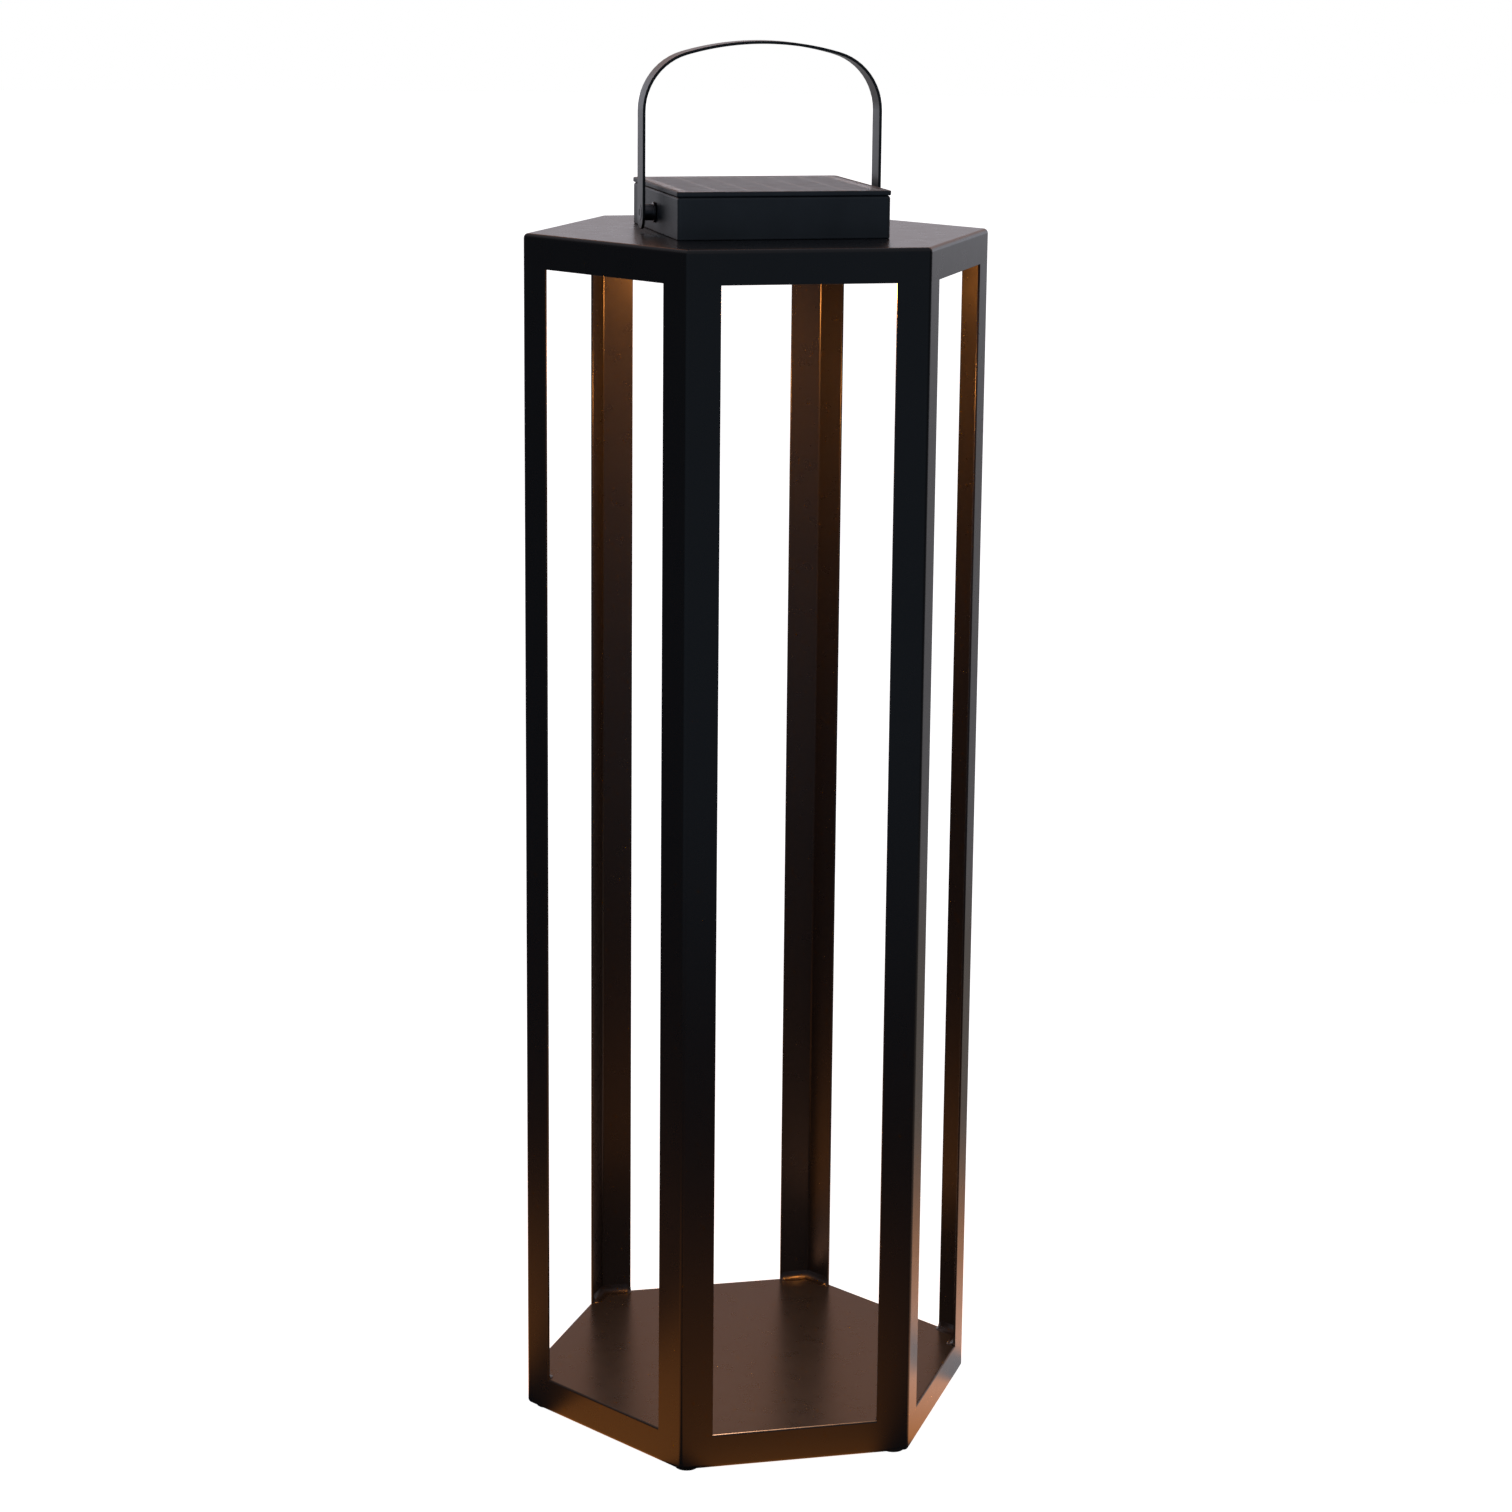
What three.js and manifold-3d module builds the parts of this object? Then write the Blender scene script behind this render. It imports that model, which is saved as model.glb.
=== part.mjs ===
// Solar lantern: a hexagonal cage of folded sheet steel, a solar light module on its cap and a bail handle.
// Units are millimetres and +Z is up. The origin is the centre of the footprint, on the ground.
// Two flat sides of the hexagon face +Y and -Y, and two of its corners lie on the X axis.
import * as THREE from "three";
import { mergeVertices } from "three/addons/utils/BufferGeometryUtils.js";
import Module from "manifold-3d";

const wasm = await Module();
wasm.setup();

// ---- driving dimensions ----

const CORNERS = 6;
const HEX_RADIUS = 100; // axis to a corner, which is also the length of one side
const CAGE_HEIGHT = 514; // lower edge of the base to the top of the cap
const SHEET = 1; // thickness of the steel sheet
const POST_FLANGE = 14; // width of each flange of a corner post
const CAP_SKIRT = 14; // height of the cap's folded sides
const BASE_SKIRT = 15; // height of the base's folded sides
const BASE_RETURN = 13; // how far the base's lower flange turns inwards
const BEND_RADIUS = 2; // outer radius of the folds
const FIT_GAP = 0.3; // clearance between neighbours that don't share a plane
const OVERCUT = 1; // how far a cutting tool runs past the face that it opens
const BITE = 0.5; // how far a boss sinks into the wall that it grows from

const FOOT_HEIGHT = 1.5;
const FOOT_RADIUS = 5;
const FOOT_CIRCLE = 91; // axis to the centre of each foot

const MODULE_SIDE = 89; // outer side of the square module housing
const MODULE_HEIGHT = 17.5;
const MODULE_WALL = 2;
const MODULE_FLOOR = 2;
const MODULE_CORNER = 1.6;
const INSIDE_CORNER = 1; // corner radius of the openings in the housing and the lid
const BEZEL_SIDE = 89.6;
const BEZEL_HEIGHT = 2;
const BEZEL_BORDER = 1.5;
const BEZEL_LEDGE = 1; // the glass rests on it
const GLASS_THICKNESS = 1;
const BACKSHEET_THICKNESS = 0.5;
const CELL_THICKNESS = 0.2;
const CELL_COUNT = 6;
const CELL_MARGIN = 3; // cells to the edge of the glass
const CELL_GAP = 1.2;
const GASKET_WIDTH = 2.2;
const GASKET_HEIGHT = 1.2;
const GASKET_INSET = 1.5; // housing side to the outer side of the gasket

const MODULE_SCREW_OFFSET = 37.5; // in X and in Y, from the axis
const MODULE_SCREW_RADIUS = 1.4;
const MODULE_SCREW_HOLE = 1.8; // radius, through the light's flange and the cap
const MODULE_SCREW_HEAD = 2.8;
const MODULE_SCREW_CROWN = 2; // radius of the flat on top of the head
const MODULE_SCREW_HEAD_HEIGHT = 2;
const MODULE_SCREW_POINT = 1; // length of the cone at the tip
const MODULE_SCREW_REACH = 8; // into the boss, above the housing's underside
const BOSS_RADIUS = 4;
const BOSS_HEIGHT = 10;
const WIRE_HOLE_RADIUS = 8;

const BATTERY_RADIUS = 7.1;
const BATTERY_LENGTH = 49;
const BATTERY_Y = [17.4, 32.6]; // centre lines of the two cells
const BATTERY_EDGE = 0.8; // chamfer of a cell's ends
const BATTERY_PLAY = 0.2; // round a cell in its pocket
const BATTERY_NUB_RADIUS = 2.7;
const BATTERY_NUB = 1.2;
const HOLDER_LENGTH = 60;
const HOLDER_WALL = 1.2;
const HOLDER_FLOOR = 0.8;
const HOLDER_HEIGHT = 9;
const SPRING_WIRE = 0.4; // radius
const SPRING_WIDE = 5; // coil radius at the holder's wall
const SPRING_NARROW = 2.4; // coil radius at the cell
const SPRING_TURNS = 3;
const SPRING_STEPS = 36;

const BOARD = { y: -24, length: 50, depth: 24, thickness: 1.6, lift: 3.5 };
const BOARD_POST = { radius: 2.5, inset: 4 }; // inset from the board's end
const CHIP = { length: 6, depth: 5, height: 1.6 };
const INDUCTOR = { x: 13, radius: 4, height: 5 };

const HANDLE_HALF_SPAN = 49.7; // axis to the inner face of a leg
const HANDLE_THICKNESS = 1.2;
const HANDLE_WIDTH = 11;
const HANDLE_RISE = 78; // cap to the crown
const HANDLE_CROWN_RADIUS = 120;
const HANDLE_SHOULDER_RADIUS = 25;
const PIVOT_RISE = 8; // cap to the handle's axis
const PIVOT_TO_END = 6.8;
const PIVOT_SHANK = 2; // radius of the pivot screw
const PIVOT_HEAD = 3.2; // radius of its countersunk head, flush with the strip
const SPACER_RADIUS = 4.2;
const NUT_RADIUS = 4;
const NUT_HEIGHT = 3.2;

const LIGHT_FLANGE = 84; // side of the square plate that the module screws clamp
const LIGHT_FLANGE_CORNER = 5;
const LIGHT_FLANGE_THICKNESS = 2;
const LIGHT_RADIUS = 40;
const LIGHT_WALL = 2;
const LIGHT_DEPTH = 10; // of the cup, under its flange
const LENS_BEZEL_THICKNESS = 2;
const LENS_WINDOW_RADIUS = 24;
const LENS_RADIUS = 26;
const LENS_THICKNESS = 1.2;
const LENS_CROWN = 1; // the dome's lowest point below the bezel
const LENS_SHOULDER = 0.5; // the dome below the bezel at its shoulder
const LENS_SHOULDER_SHARE = 0.6; // of the dome's radius
const LED_BOARD_RADIUS = 20;
const LED_BOARD_THICKNESS = 1.6;
const LED_BOARD_DROP = 3.2; // room for the leads over the board
const LED_CIRCLE = 9;
const LED_COUNT = 4;
const LED = { side: 5, height: 1.4 };
const LED_PILLAR = { radius: 2.5, x: 15 };
const REFLECTOR_WALL = 0.8;
const REFLECTOR_TOP_RADIUS = 16;

const SWITCH_Y = -32;
const SWITCH = { side: 9, height: 5, socket: 3.5 };
const BUTTON_RADIUS = 3.6;
const BUTTON_CROWN_RADIUS = 2.7;
const BUTTON_CROWN = [0.3, 1]; // the crown's edge and the cap's side above the lowest point
const BUTTON_PROUD = 2; // below the bezel at rest
const BUTTON_STEM_RADIUS = 1.5;
const BUTTON_STEM_REACH = 2; // into the switch at rest
const BUTTON_TRAVEL = 1.2;
const BUTTON_SPARE = 0.8; // gap to the switch with the button pressed

const LEAD_RADIUS = 0.9;
const LEAD_LIFT = 1.5; // centre line of a lead over the surface it lies on

// ---- derived sizes ----

const APOTHEM = HEX_RADIUS * Math.cos(Math.PI / CORNERS);
const BASE_BOTTOM = FOOT_HEIGHT;
const BASE_TOP = BASE_BOTTOM + BASE_SKIRT;
const CAP_TOP = BASE_BOTTOM + CAGE_HEIGHT;
const CAP_UNDERSIDE = CAP_TOP - SHEET;
const SKIRT_BOTTOM = CAP_TOP - CAP_SKIRT;
const PIVOT_Z = CAP_TOP + PIVOT_RISE;
const MODULE_TOP = CAP_TOP + MODULE_HEIGHT;
const MODULE_INSIDE = CAP_TOP + MODULE_FLOOR;
const BEZEL_TOP = MODULE_TOP + BEZEL_HEIGHT;
const GLASS_SIDE = BEZEL_SIDE - 2 * BEZEL_BORDER;
const LIGHT_TOP = CAP_UNDERSIDE - LIGHT_FLANGE_THICKNESS;
const CUP_BOTTOM = LIGHT_TOP - LIGHT_DEPTH;
const LENS_BEZEL_BOTTOM = CUP_BOTTOM - LENS_BEZEL_THICKNESS;
const LED_BOARD_TOP = LIGHT_TOP - LED_BOARD_DROP;
const LED_TOP = LED_BOARD_TOP - LED_BOARD_THICKNESS;
const SWITCH_BOTTOM = LIGHT_TOP - SWITCH.height;

// ---- shapes and solids ----

function toSolid(geometry) {
  const bare = geometry.index ? geometry.toNonIndexed() : geometry.clone();
  bare.deleteAttribute("normal");
  bare.deleteAttribute("uv");
  const merged = mergeVertices(bare, 1e-4);
  return new wasm.Manifold(
    new wasm.Mesh({
      numProp: 3,
      vertProperties: merged.attributes.position.array,
      triVerts: new Uint32Array(merged.index.array),
    }),
  );
}

function toGeometry(solid) {
  const mesh = solid.getMesh();
  const geometry = new THREE.BufferGeometry();
  geometry.setAttribute("position", new THREE.BufferAttribute(mesh.vertProperties, 3));
  geometry.setIndex(new THREE.BufferAttribute(mesh.triVerts, 1));
  return geometry;
}

function cut(base, ...tools) {
  return toGeometry(tools.reduce((left, tool) => left.subtract(toSolid(tool)), toSolid(base)));
}

function join(base, ...others) {
  return toGeometry(others.reduce((sum, other) => sum.add(toSolid(other)), toSolid(base)));
}

function common(base, other) {
  return toGeometry(toSolid(base).intersect(toSolid(other)));
}

function prism(shape, bottom, top, curveSegments = 3) {
  const geometry = new THREE.ExtrudeGeometry(shape, {
    depth: top - bottom,
    bevelEnabled: false,
    curveSegments,
  });
  return geometry.translate(0, 0, bottom);
}

function block(x0, x1, y0, y1, z0, z1) {
  const geometry = new THREE.BoxGeometry(x1 - x0, y1 - y0, z1 - z0);
  return geometry.translate((x0 + x1) / 2, (y0 + y1) / 2, (z0 + z1) / 2);
}

function rod(radius, bottom, top, x = 0, y = 0, segments = 16) {
  const geometry = new THREE.CylinderGeometry(radius, radius, top - bottom, segments);
  return geometry.rotateX(Math.PI / 2).translate(x, y, (bottom + top) / 2);
}

// A rod along X through the handle's axis.
function pivotRod(radius, x0, x1, segments = 16) {
  const geometry = new THREE.CylinderGeometry(radius, radius, Math.abs(x1 - x0), segments);
  return geometry.rotateZ(Math.PI / 2).translate((x0 + x1) / 2, 0, PIVOT_Z);
}

// A solid of revolution about a vertical axis. The profile is a closed ring of [radius, height] pairs,
// or it starts and ends on the axis.
function turned(profile, x = 0, y = 0, segments = 24) {
  const points = profile.map(([r, z]) => new THREE.Vector2(r, z));
  return new THREE.LatheGeometry(points, segments).rotateX(Math.PI / 2).translate(x, y, 0);
}

function hexagon(apothem, cornerRadius) {
  const shape = new THREE.Shape();
  const centre = (apothem - cornerRadius) / Math.cos(Math.PI / CORNERS);
  for (let corner = 0; corner < CORNERS; corner += 1) {
    const angle = (corner * 2 * Math.PI) / CORNERS;
    const half = Math.PI / CORNERS;
    const x = centre * Math.cos(angle);
    const y = centre * Math.sin(angle);
    shape.absarc(x, y, cornerRadius, angle - half, angle + half, false);
  }
  return shape;
}

function roundedSquare(side, radius, depth = side) {
  const shape = new THREE.Shape();
  const x = side / 2 - radius;
  const y = depth / 2 - radius;
  shape.absarc(x, y, radius, 0, Math.PI / 2, false);
  shape.absarc(-x, y, radius, Math.PI / 2, Math.PI, false);
  shape.absarc(-x, -y, radius, Math.PI, 1.5 * Math.PI, false);
  shape.absarc(x, -y, radius, 1.5 * Math.PI, 2 * Math.PI, false);
  return shape;
}

// ---- materials ----

function finish(color, roughness, metalness) {
  return () => new THREE.MeshStandardMaterial({ color, roughness, metalness });
}

const powderCoat = finish(0x1c1d20, 0.5, 0.2);
const blackPlastic = finish(0x17181a, 0.45, 0);
const rubber = finish(0x101011, 0.9, 0);
const glass = finish(0x2a3038, 0.1, 0);
const silicon = finish(0x14203c, 0.3, 0.3);
const whitePlastic = finish(0xe8e6e0, 0.5, 0);
const zincSteel = finish(0xb8babd, 0.35, 1);
const nickel = finish(0xc9c7c0, 0.25, 1);
const circuitGreen = finish(0x1f5a38, 0.5, 0);
const epoxyBlack = finish(0x111214, 0.4, 0);
const frosted = finish(0xfff0d8, 0.6, 0);
const phosphor = finish(0xf2c84b, 0.5, 0);
const leadBlack = finish(0x141414, 0.6, 0);
const cellWrap = finish(0x2f6f4f, 0.4, 0);

const lantern = new THREE.Group();

function add(name, geometry, material) {
  const mesh = new THREE.Mesh(geometry, material());
  mesh.name = name;
  lantern.add(mesh);
  return mesh;
}

// ---- cage ----

// The cap is a folded pan: a hexagonal plate with a skirt all round.
function topCap() {
  const inner = hexagon(APOTHEM - SHEET, BEND_RADIUS - SHEET);
  const screwHoles = moduleCorners().map(([x, y]) =>
    rod(MODULE_SCREW_HOLE, CAP_UNDERSIDE - OVERCUT, CAP_TOP + OVERCUT, x, y, 12),
  );
  return cut(
    prism(hexagon(APOTHEM, BEND_RADIUS), SKIRT_BOTTOM, CAP_TOP),
    prism(inner, SKIRT_BOTTOM - OVERCUT, CAP_UNDERSIDE),
    rod(WIRE_HOLE_RADIUS, CAP_UNDERSIDE - OVERCUT, CAP_TOP + OVERCUT),
    ...screwHoles,
  );
}

// A corner post is a strip folded to the hexagon's 120 degree corner. Drawn at the +X corner.
function postSection() {
  const half = Math.PI / CORNERS;
  const bendCentre = (APOTHEM - BEND_RADIUS) / Math.cos(half);
  const normal = new THREE.Vector2(Math.cos(half), Math.sin(half));
  const along = new THREE.Vector2(-normal.y, normal.x);
  const outer = new THREE.Vector2(HEX_RADIUS, 0).addScaledVector(along, POST_FLANGE);
  const inner = outer.clone().addScaledVector(normal, -SHEET);
  const shape = new THREE.Shape();
  shape.moveTo(outer.x, -outer.y);
  shape.absarc(bendCentre, 0, BEND_RADIUS, -half, half, false);
  shape.lineTo(outer.x, outer.y);
  shape.lineTo(inner.x, inner.y);
  shape.absarc(bendCentre, 0, BEND_RADIUS - SHEET, half, -half, true);
  shape.lineTo(inner.x, -inner.y);
  shape.closePath();
  return shape;
}

function addPosts() {
  for (let corner = 0; corner < CORNERS; corner += 1) {
    const geometry = prism(postSection(), BASE_TOP, SKIRT_BOTTOM);
    geometry.rotateZ((corner * 2 * Math.PI) / CORNERS);
    add(`corner_post_${corner + 1}`, geometry, powderCoat);
  }
}

// The base is a pan like the cap, its plate up, and its sides also turn inwards along the ground.
function basePan() {
  const inner = hexagon(APOTHEM - SHEET, BEND_RADIUS - SHEET);
  return cut(
    prism(hexagon(APOTHEM, BEND_RADIUS), BASE_BOTTOM, BASE_TOP),
    prism(inner, BASE_BOTTOM + SHEET, BASE_TOP - SHEET),
    prism(hexagon(APOTHEM - BASE_RETURN, BEND_RADIUS), BASE_BOTTOM - OVERCUT, BASE_BOTTOM + 2 * SHEET),
  );
}

function addFeet() {
  for (let corner = 0; corner < CORNERS; corner += 1) {
    const angle = (corner * 2 * Math.PI) / CORNERS;
    const x = FOOT_CIRCLE * Math.cos(angle);
    const y = FOOT_CIRCLE * Math.sin(angle);
    add(`foot_${corner + 1}`, rod(FOOT_RADIUS, 0, FOOT_HEIGHT, x, y), rubber);
  }
}

// ---- solar module ----

function moduleCorners() {
  const c = MODULE_SCREW_OFFSET;
  return [
    [c, c],
    [-c, c],
    [-c, -c],
    [c, -c],
  ];
}

function gasketOutline(width) {
  return roundedSquare(MODULE_SIDE - 2 * GASKET_INSET + width, MODULE_CORNER);
}

// An open-topped box with a boss for each module screw, two board posts and a gasket groove underneath.
function moduleHousing() {
  const inside = roundedSquare(MODULE_SIDE - 2 * MODULE_WALL, INSIDE_CORNER);
  const grooveTop = CAP_TOP + GASKET_HEIGHT;
  const shell = cut(
    prism(roundedSquare(MODULE_SIDE, MODULE_CORNER), CAP_TOP, MODULE_TOP),
    prism(inside, MODULE_INSIDE, MODULE_TOP + OVERCUT),
    cut(
      prism(gasketOutline(0), CAP_TOP - OVERCUT, grooveTop),
      prism(gasketOutline(-2 * GASKET_WIDTH), CAP_TOP - 2 * OVERCUT, grooveTop + OVERCUT),
    ),
  );
  const bosses = moduleCorners().map(([x, y]) =>
    rod(BOSS_RADIUS, MODULE_INSIDE - BITE, MODULE_INSIDE + BOSS_HEIGHT, x, y),
  );
  const boardPosts = [-1, 1].map((side) => {
    const x = side * (BOARD.length / 2 - BOARD_POST.inset);
    return rod(BOARD_POST.radius, MODULE_INSIDE - BITE, MODULE_INSIDE + BOARD.lift, x, BOARD.y, 12);
  });
  const screwEnd = CAP_TOP + MODULE_SCREW_REACH + FIT_GAP;
  const screwHoles = moduleCorners().map(([x, y]) =>
    rod(MODULE_SCREW_RADIUS + FIT_GAP, CAP_TOP - OVERCUT, screwEnd, x, y, 12),
  );
  return cut(
    join(shell, ...bosses, ...boardPosts),
    rod(WIRE_HOLE_RADIUS, CAP_TOP - OVERCUT, MODULE_INSIDE + OVERCUT),
    pivotRod(PIVOT_SHANK + FIT_GAP, -MODULE_SIDE, MODULE_SIDE, 12),
    ...screwHoles,
  );
}

function gasket() {
  const top = CAP_TOP + GASKET_HEIGHT;
  return cut(
    prism(gasketOutline(-2 * FIT_GAP), CAP_TOP, top),
    prism(gasketOutline(-2 * GASKET_WIDTH + 2 * FIT_GAP), CAP_TOP - OVERCUT, top + OVERCUT),
  );
}

// A thin lid frame that holds the panel and overhangs the housing a little.
function moduleBezel() {
  const ledgeTop = BEZEL_TOP - GLASS_THICKNESS - CELL_THICKNESS;
  const opening = roundedSquare(GLASS_SIDE - 2 * BEZEL_LEDGE, INSIDE_CORNER);
  return cut(
    prism(roundedSquare(BEZEL_SIDE, MODULE_CORNER), MODULE_TOP, BEZEL_TOP),
    prism(roundedSquare(GLASS_SIDE, INSIDE_CORNER), ledgeTop, BEZEL_TOP + OVERCUT),
    prism(opening, MODULE_TOP - OVERCUT, BEZEL_TOP),
  );
}

function addPanel() {
  const glassSide = GLASS_SIDE - 2 * FIT_GAP;
  const cellTop = BEZEL_TOP - GLASS_THICKNESS;
  const cellBottom = cellTop - CELL_THICKNESS;
  const backSide = glassSide - 2 * BEZEL_LEDGE;
  const field = backSide - 2 * CELL_MARGIN;
  const cellWidth = (field - (CELL_COUNT - 1) * CELL_GAP) / CELL_COUNT;
  add("solar_glass", prism(roundedSquare(glassSide, INSIDE_CORNER), cellTop, BEZEL_TOP), glass);
  const backOutline = roundedSquare(backSide, INSIDE_CORNER);
  const back = prism(backOutline, cellBottom - BACKSHEET_THICKNESS, cellBottom);
  add("solar_backsheet", back, whitePlastic);
  for (let index = 0; index < CELL_COUNT; index += 1) {
    const x0 = -field / 2 + index * (cellWidth + CELL_GAP);
    const cell = block(x0, x0 + cellWidth, -field / 2, field / 2, cellBottom, cellTop);
    add(`solar_cell_${index + 1}`, cell, silicon);
  }
}

// Each screw passes through the light's flange and the cap into a boss of the module.
function addModuleScrews() {
  moduleCorners().forEach(([x, y], index) => {
    const tip = CAP_TOP + MODULE_SCREW_REACH;
    const screw = turned(
      [
        [0, LIGHT_TOP - MODULE_SCREW_HEAD_HEIGHT],
        [MODULE_SCREW_CROWN, LIGHT_TOP - MODULE_SCREW_HEAD_HEIGHT],
        [MODULE_SCREW_HEAD, LIGHT_TOP - MODULE_SCREW_HEAD_HEIGHT / 2],
        [MODULE_SCREW_HEAD, LIGHT_TOP],
        [MODULE_SCREW_RADIUS, LIGHT_TOP],
        [MODULE_SCREW_RADIUS, tip - MODULE_SCREW_POINT],
        [0, tip],
      ],
      x,
      y,
      12,
    );
    add(`module_screw_${index + 1}`, screw, zincSteel);
  });
}

// ---- battery and electronics ----

function batteryCell(y) {
  const half = BATTERY_LENGTH / 2;
  const shoulder = half - BATTERY_NUB;
  const axis = MODULE_INSIDE + HOLDER_FLOOR + BATTERY_RADIUS + BATTERY_PLAY / 2;
  const cell = turned(
    [
      [0, -half],
      [BATTERY_RADIUS - BATTERY_EDGE, -half],
      [BATTERY_RADIUS, -half + BATTERY_EDGE],
      [BATTERY_RADIUS, shoulder - BATTERY_EDGE],
      [BATTERY_RADIUS - BATTERY_EDGE, shoulder],
      [BATTERY_NUB_RADIUS, shoulder],
      [BATTERY_NUB_RADIUS, half],
      [0, half],
    ],
    0,
    0,
    16,
  );
  return cell.rotateY(Math.PI / 2).translate(0, y, axis);
}

// An open tray with a rib between the two cells.
function batteryHolder() {
  const reach = BATTERY_RADIUS + BATTERY_PLAY;
  const y0 = BATTERY_Y[0] - reach - HOLDER_WALL;
  const y1 = BATTERY_Y[1] + reach + HOLDER_WALL;
  const half = HOLDER_LENGTH / 2;
  const pocketEnd = half - HOLDER_WALL;
  const top = MODULE_INSIDE + HOLDER_HEIGHT;
  const floor = MODULE_INSIDE + HOLDER_FLOOR;
  const pockets = BATTERY_Y.map((y) =>
    block(-pocketEnd, pocketEnd, y - reach, y + reach, floor, top + OVERCUT),
  );
  return cut(block(-half, half, y0, y1, MODULE_INSIDE, top), ...pockets);
}

class ConicalHelix extends THREE.Curve {
  constructor(wide, narrow, length, turns) {
    super();
    Object.assign(this, { wide, narrow, length, turns });
  }

  getPoint(t, target = new THREE.Vector3()) {
    const angle = t * this.turns * 2 * Math.PI;
    const radius = this.wide + (this.narrow - this.wide) * t;
    return target.set(this.length * t, radius * Math.cos(angle), radius * Math.sin(angle));
  }
}

// A conical contact spring between the holder's end wall and the flat end of a cell.
function batterySpring(y, side) {
  const start = HOLDER_LENGTH / 2 - HOLDER_WALL - SPRING_WIRE - FIT_GAP;
  const end = BATTERY_LENGTH / 2 + SPRING_WIRE + FIT_GAP;
  const wire = new THREE.Shape().absarc(0, 0, SPRING_WIRE, 0, 2 * Math.PI, false);
  const spring = new THREE.ExtrudeGeometry(wire, {
    steps: SPRING_STEPS,
    curveSegments: 3,
    extrudePath: new ConicalHelix(SPRING_WIDE, SPRING_NARROW, start - end, SPRING_TURNS),
  });
  spring.translate(-start, 0, 0);
  if (side > 0) spring.rotateZ(Math.PI);
  return spring.translate(0, y, MODULE_INSIDE + HOLDER_FLOOR + BATTERY_RADIUS);
}

function addBattery() {
  add("battery_holder", batteryHolder(), blackPlastic);
  BATTERY_Y.forEach((y, index) => {
    const cell = batteryCell(y);
    if (index === 1) cell.translate(0, -y, 0).rotateZ(Math.PI).translate(0, y, 0);
    add(`battery_cell_${index + 1}`, cell, cellWrap);
    add(`battery_spring_${index + 1}`, batterySpring(y, index === 0 ? -1 : 1), nickel);
  });
}

function addControlBoard() {
  const bottom = MODULE_INSIDE + BOARD.lift;
  const top = bottom + BOARD.thickness;
  const onBoard = ({ length, depth }, z0, z1) =>
    block(-length / 2, length / 2, BOARD.y - depth / 2, BOARD.y + depth / 2, z0, z1);
  const inductor = rod(INDUCTOR.radius, top, top + INDUCTOR.height, INDUCTOR.x, BOARD.y);
  add("control_board", onBoard(BOARD, bottom, top), circuitGreen);
  add("board_chip", onBoard(CHIP, top, top + CHIP.height), epoxyBlack);
  add("board_inductor", inductor, epoxyBlack);
}

// ---- light under the cap ----

// A square flange with a round cup under it. Two short pillars inside the cup carry the LED board.
function lightHousing() {
  const flange = prism(roundedSquare(LIGHT_FLANGE, LIGHT_FLANGE_CORNER), LIGHT_TOP, CAP_UNDERSIDE);
  const cup = rod(LIGHT_RADIUS, CUP_BOTTOM, LIGHT_TOP + BITE, 0, 0, 36);
  const hollow = rod(LIGHT_RADIUS - LIGHT_WALL, CUP_BOTTOM - OVERCUT, LIGHT_TOP, 0, 0, 36);
  const pillars = [-1, 1].map((side) =>
    rod(LED_PILLAR.radius, LED_BOARD_TOP, LIGHT_TOP + BITE, side * LED_PILLAR.x, 0, 12),
  );
  const screwHoles = moduleCorners().map(([x, y]) =>
    rod(MODULE_SCREW_HOLE, LIGHT_TOP - OVERCUT, CAP_UNDERSIDE + OVERCUT, x, y, 12),
  );
  const leadHole = rod(WIRE_HOLE_RADIUS, LIGHT_TOP - OVERCUT, CAP_UNDERSIDE + OVERCUT);
  return cut(join(cut(join(flange, cup), hollow), ...pillars), leadHole, ...screwHoles);
}

function addLeds() {
  add("led_board", rod(LED_BOARD_RADIUS, LED_TOP, LED_BOARD_TOP, 0, 0, 24), whitePlastic);
  for (let index = 0; index < LED_COUNT; index += 1) {
    const angle = ((index + 0.5) * 2 * Math.PI) / LED_COUNT;
    const x = LED_CIRCLE * Math.cos(angle);
    const y = LED_CIRCLE * Math.sin(angle);
    const half = LED.side / 2;
    const led = block(x - half, x + half, y - half, y + half, LED_TOP - LED.height, LED_TOP);
    add(`led_${index + 1}`, led, phosphor);
  }
}

function reflector() {
  const top = LED_TOP - FIT_GAP;
  const bottom = CUP_BOTTOM + LENS_THICKNESS;
  const narrow = REFLECTOR_TOP_RADIUS;
  const wide = LENS_WINDOW_RADIUS;
  return turned(
    [
      [narrow, top],
      [wide, bottom],
      [wide + REFLECTOR_WALL, bottom],
      [narrow + REFLECTOR_WALL, top],
      [narrow, top],
    ],
    0,
    0,
    32,
  );
}

// A flat rim held by the bezel, and a shallow dome that fills the window.
function diffuserLens() {
  const rimBottom = CUP_BOTTOM;
  const rimTop = CUP_BOTTOM + LENS_THICKNESS - FIT_GAP;
  const dome = LENS_WINDOW_RADIUS - FIT_GAP;
  const hollow = dome - LENS_THICKNESS;
  const shoulder = dome * LENS_SHOULDER_SHARE;
  return turned(
    [
      [0, LENS_BEZEL_BOTTOM - LENS_CROWN],
      [shoulder, LENS_BEZEL_BOTTOM - LENS_SHOULDER],
      [dome, LENS_BEZEL_BOTTOM + LENS_SHOULDER],
      [dome, rimBottom],
      [LENS_RADIUS, rimBottom],
      [LENS_RADIUS, rimTop],
      [hollow, rimTop],
      [hollow, LENS_BEZEL_BOTTOM + LENS_SHOULDER + LENS_THICKNESS],
      [shoulder, LENS_BEZEL_BOTTOM - LENS_SHOULDER + LENS_THICKNESS],
      [0, LENS_BEZEL_BOTTOM - LENS_CROWN + LENS_THICKNESS],
    ],
    0,
    0,
    32,
  );
}

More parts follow.
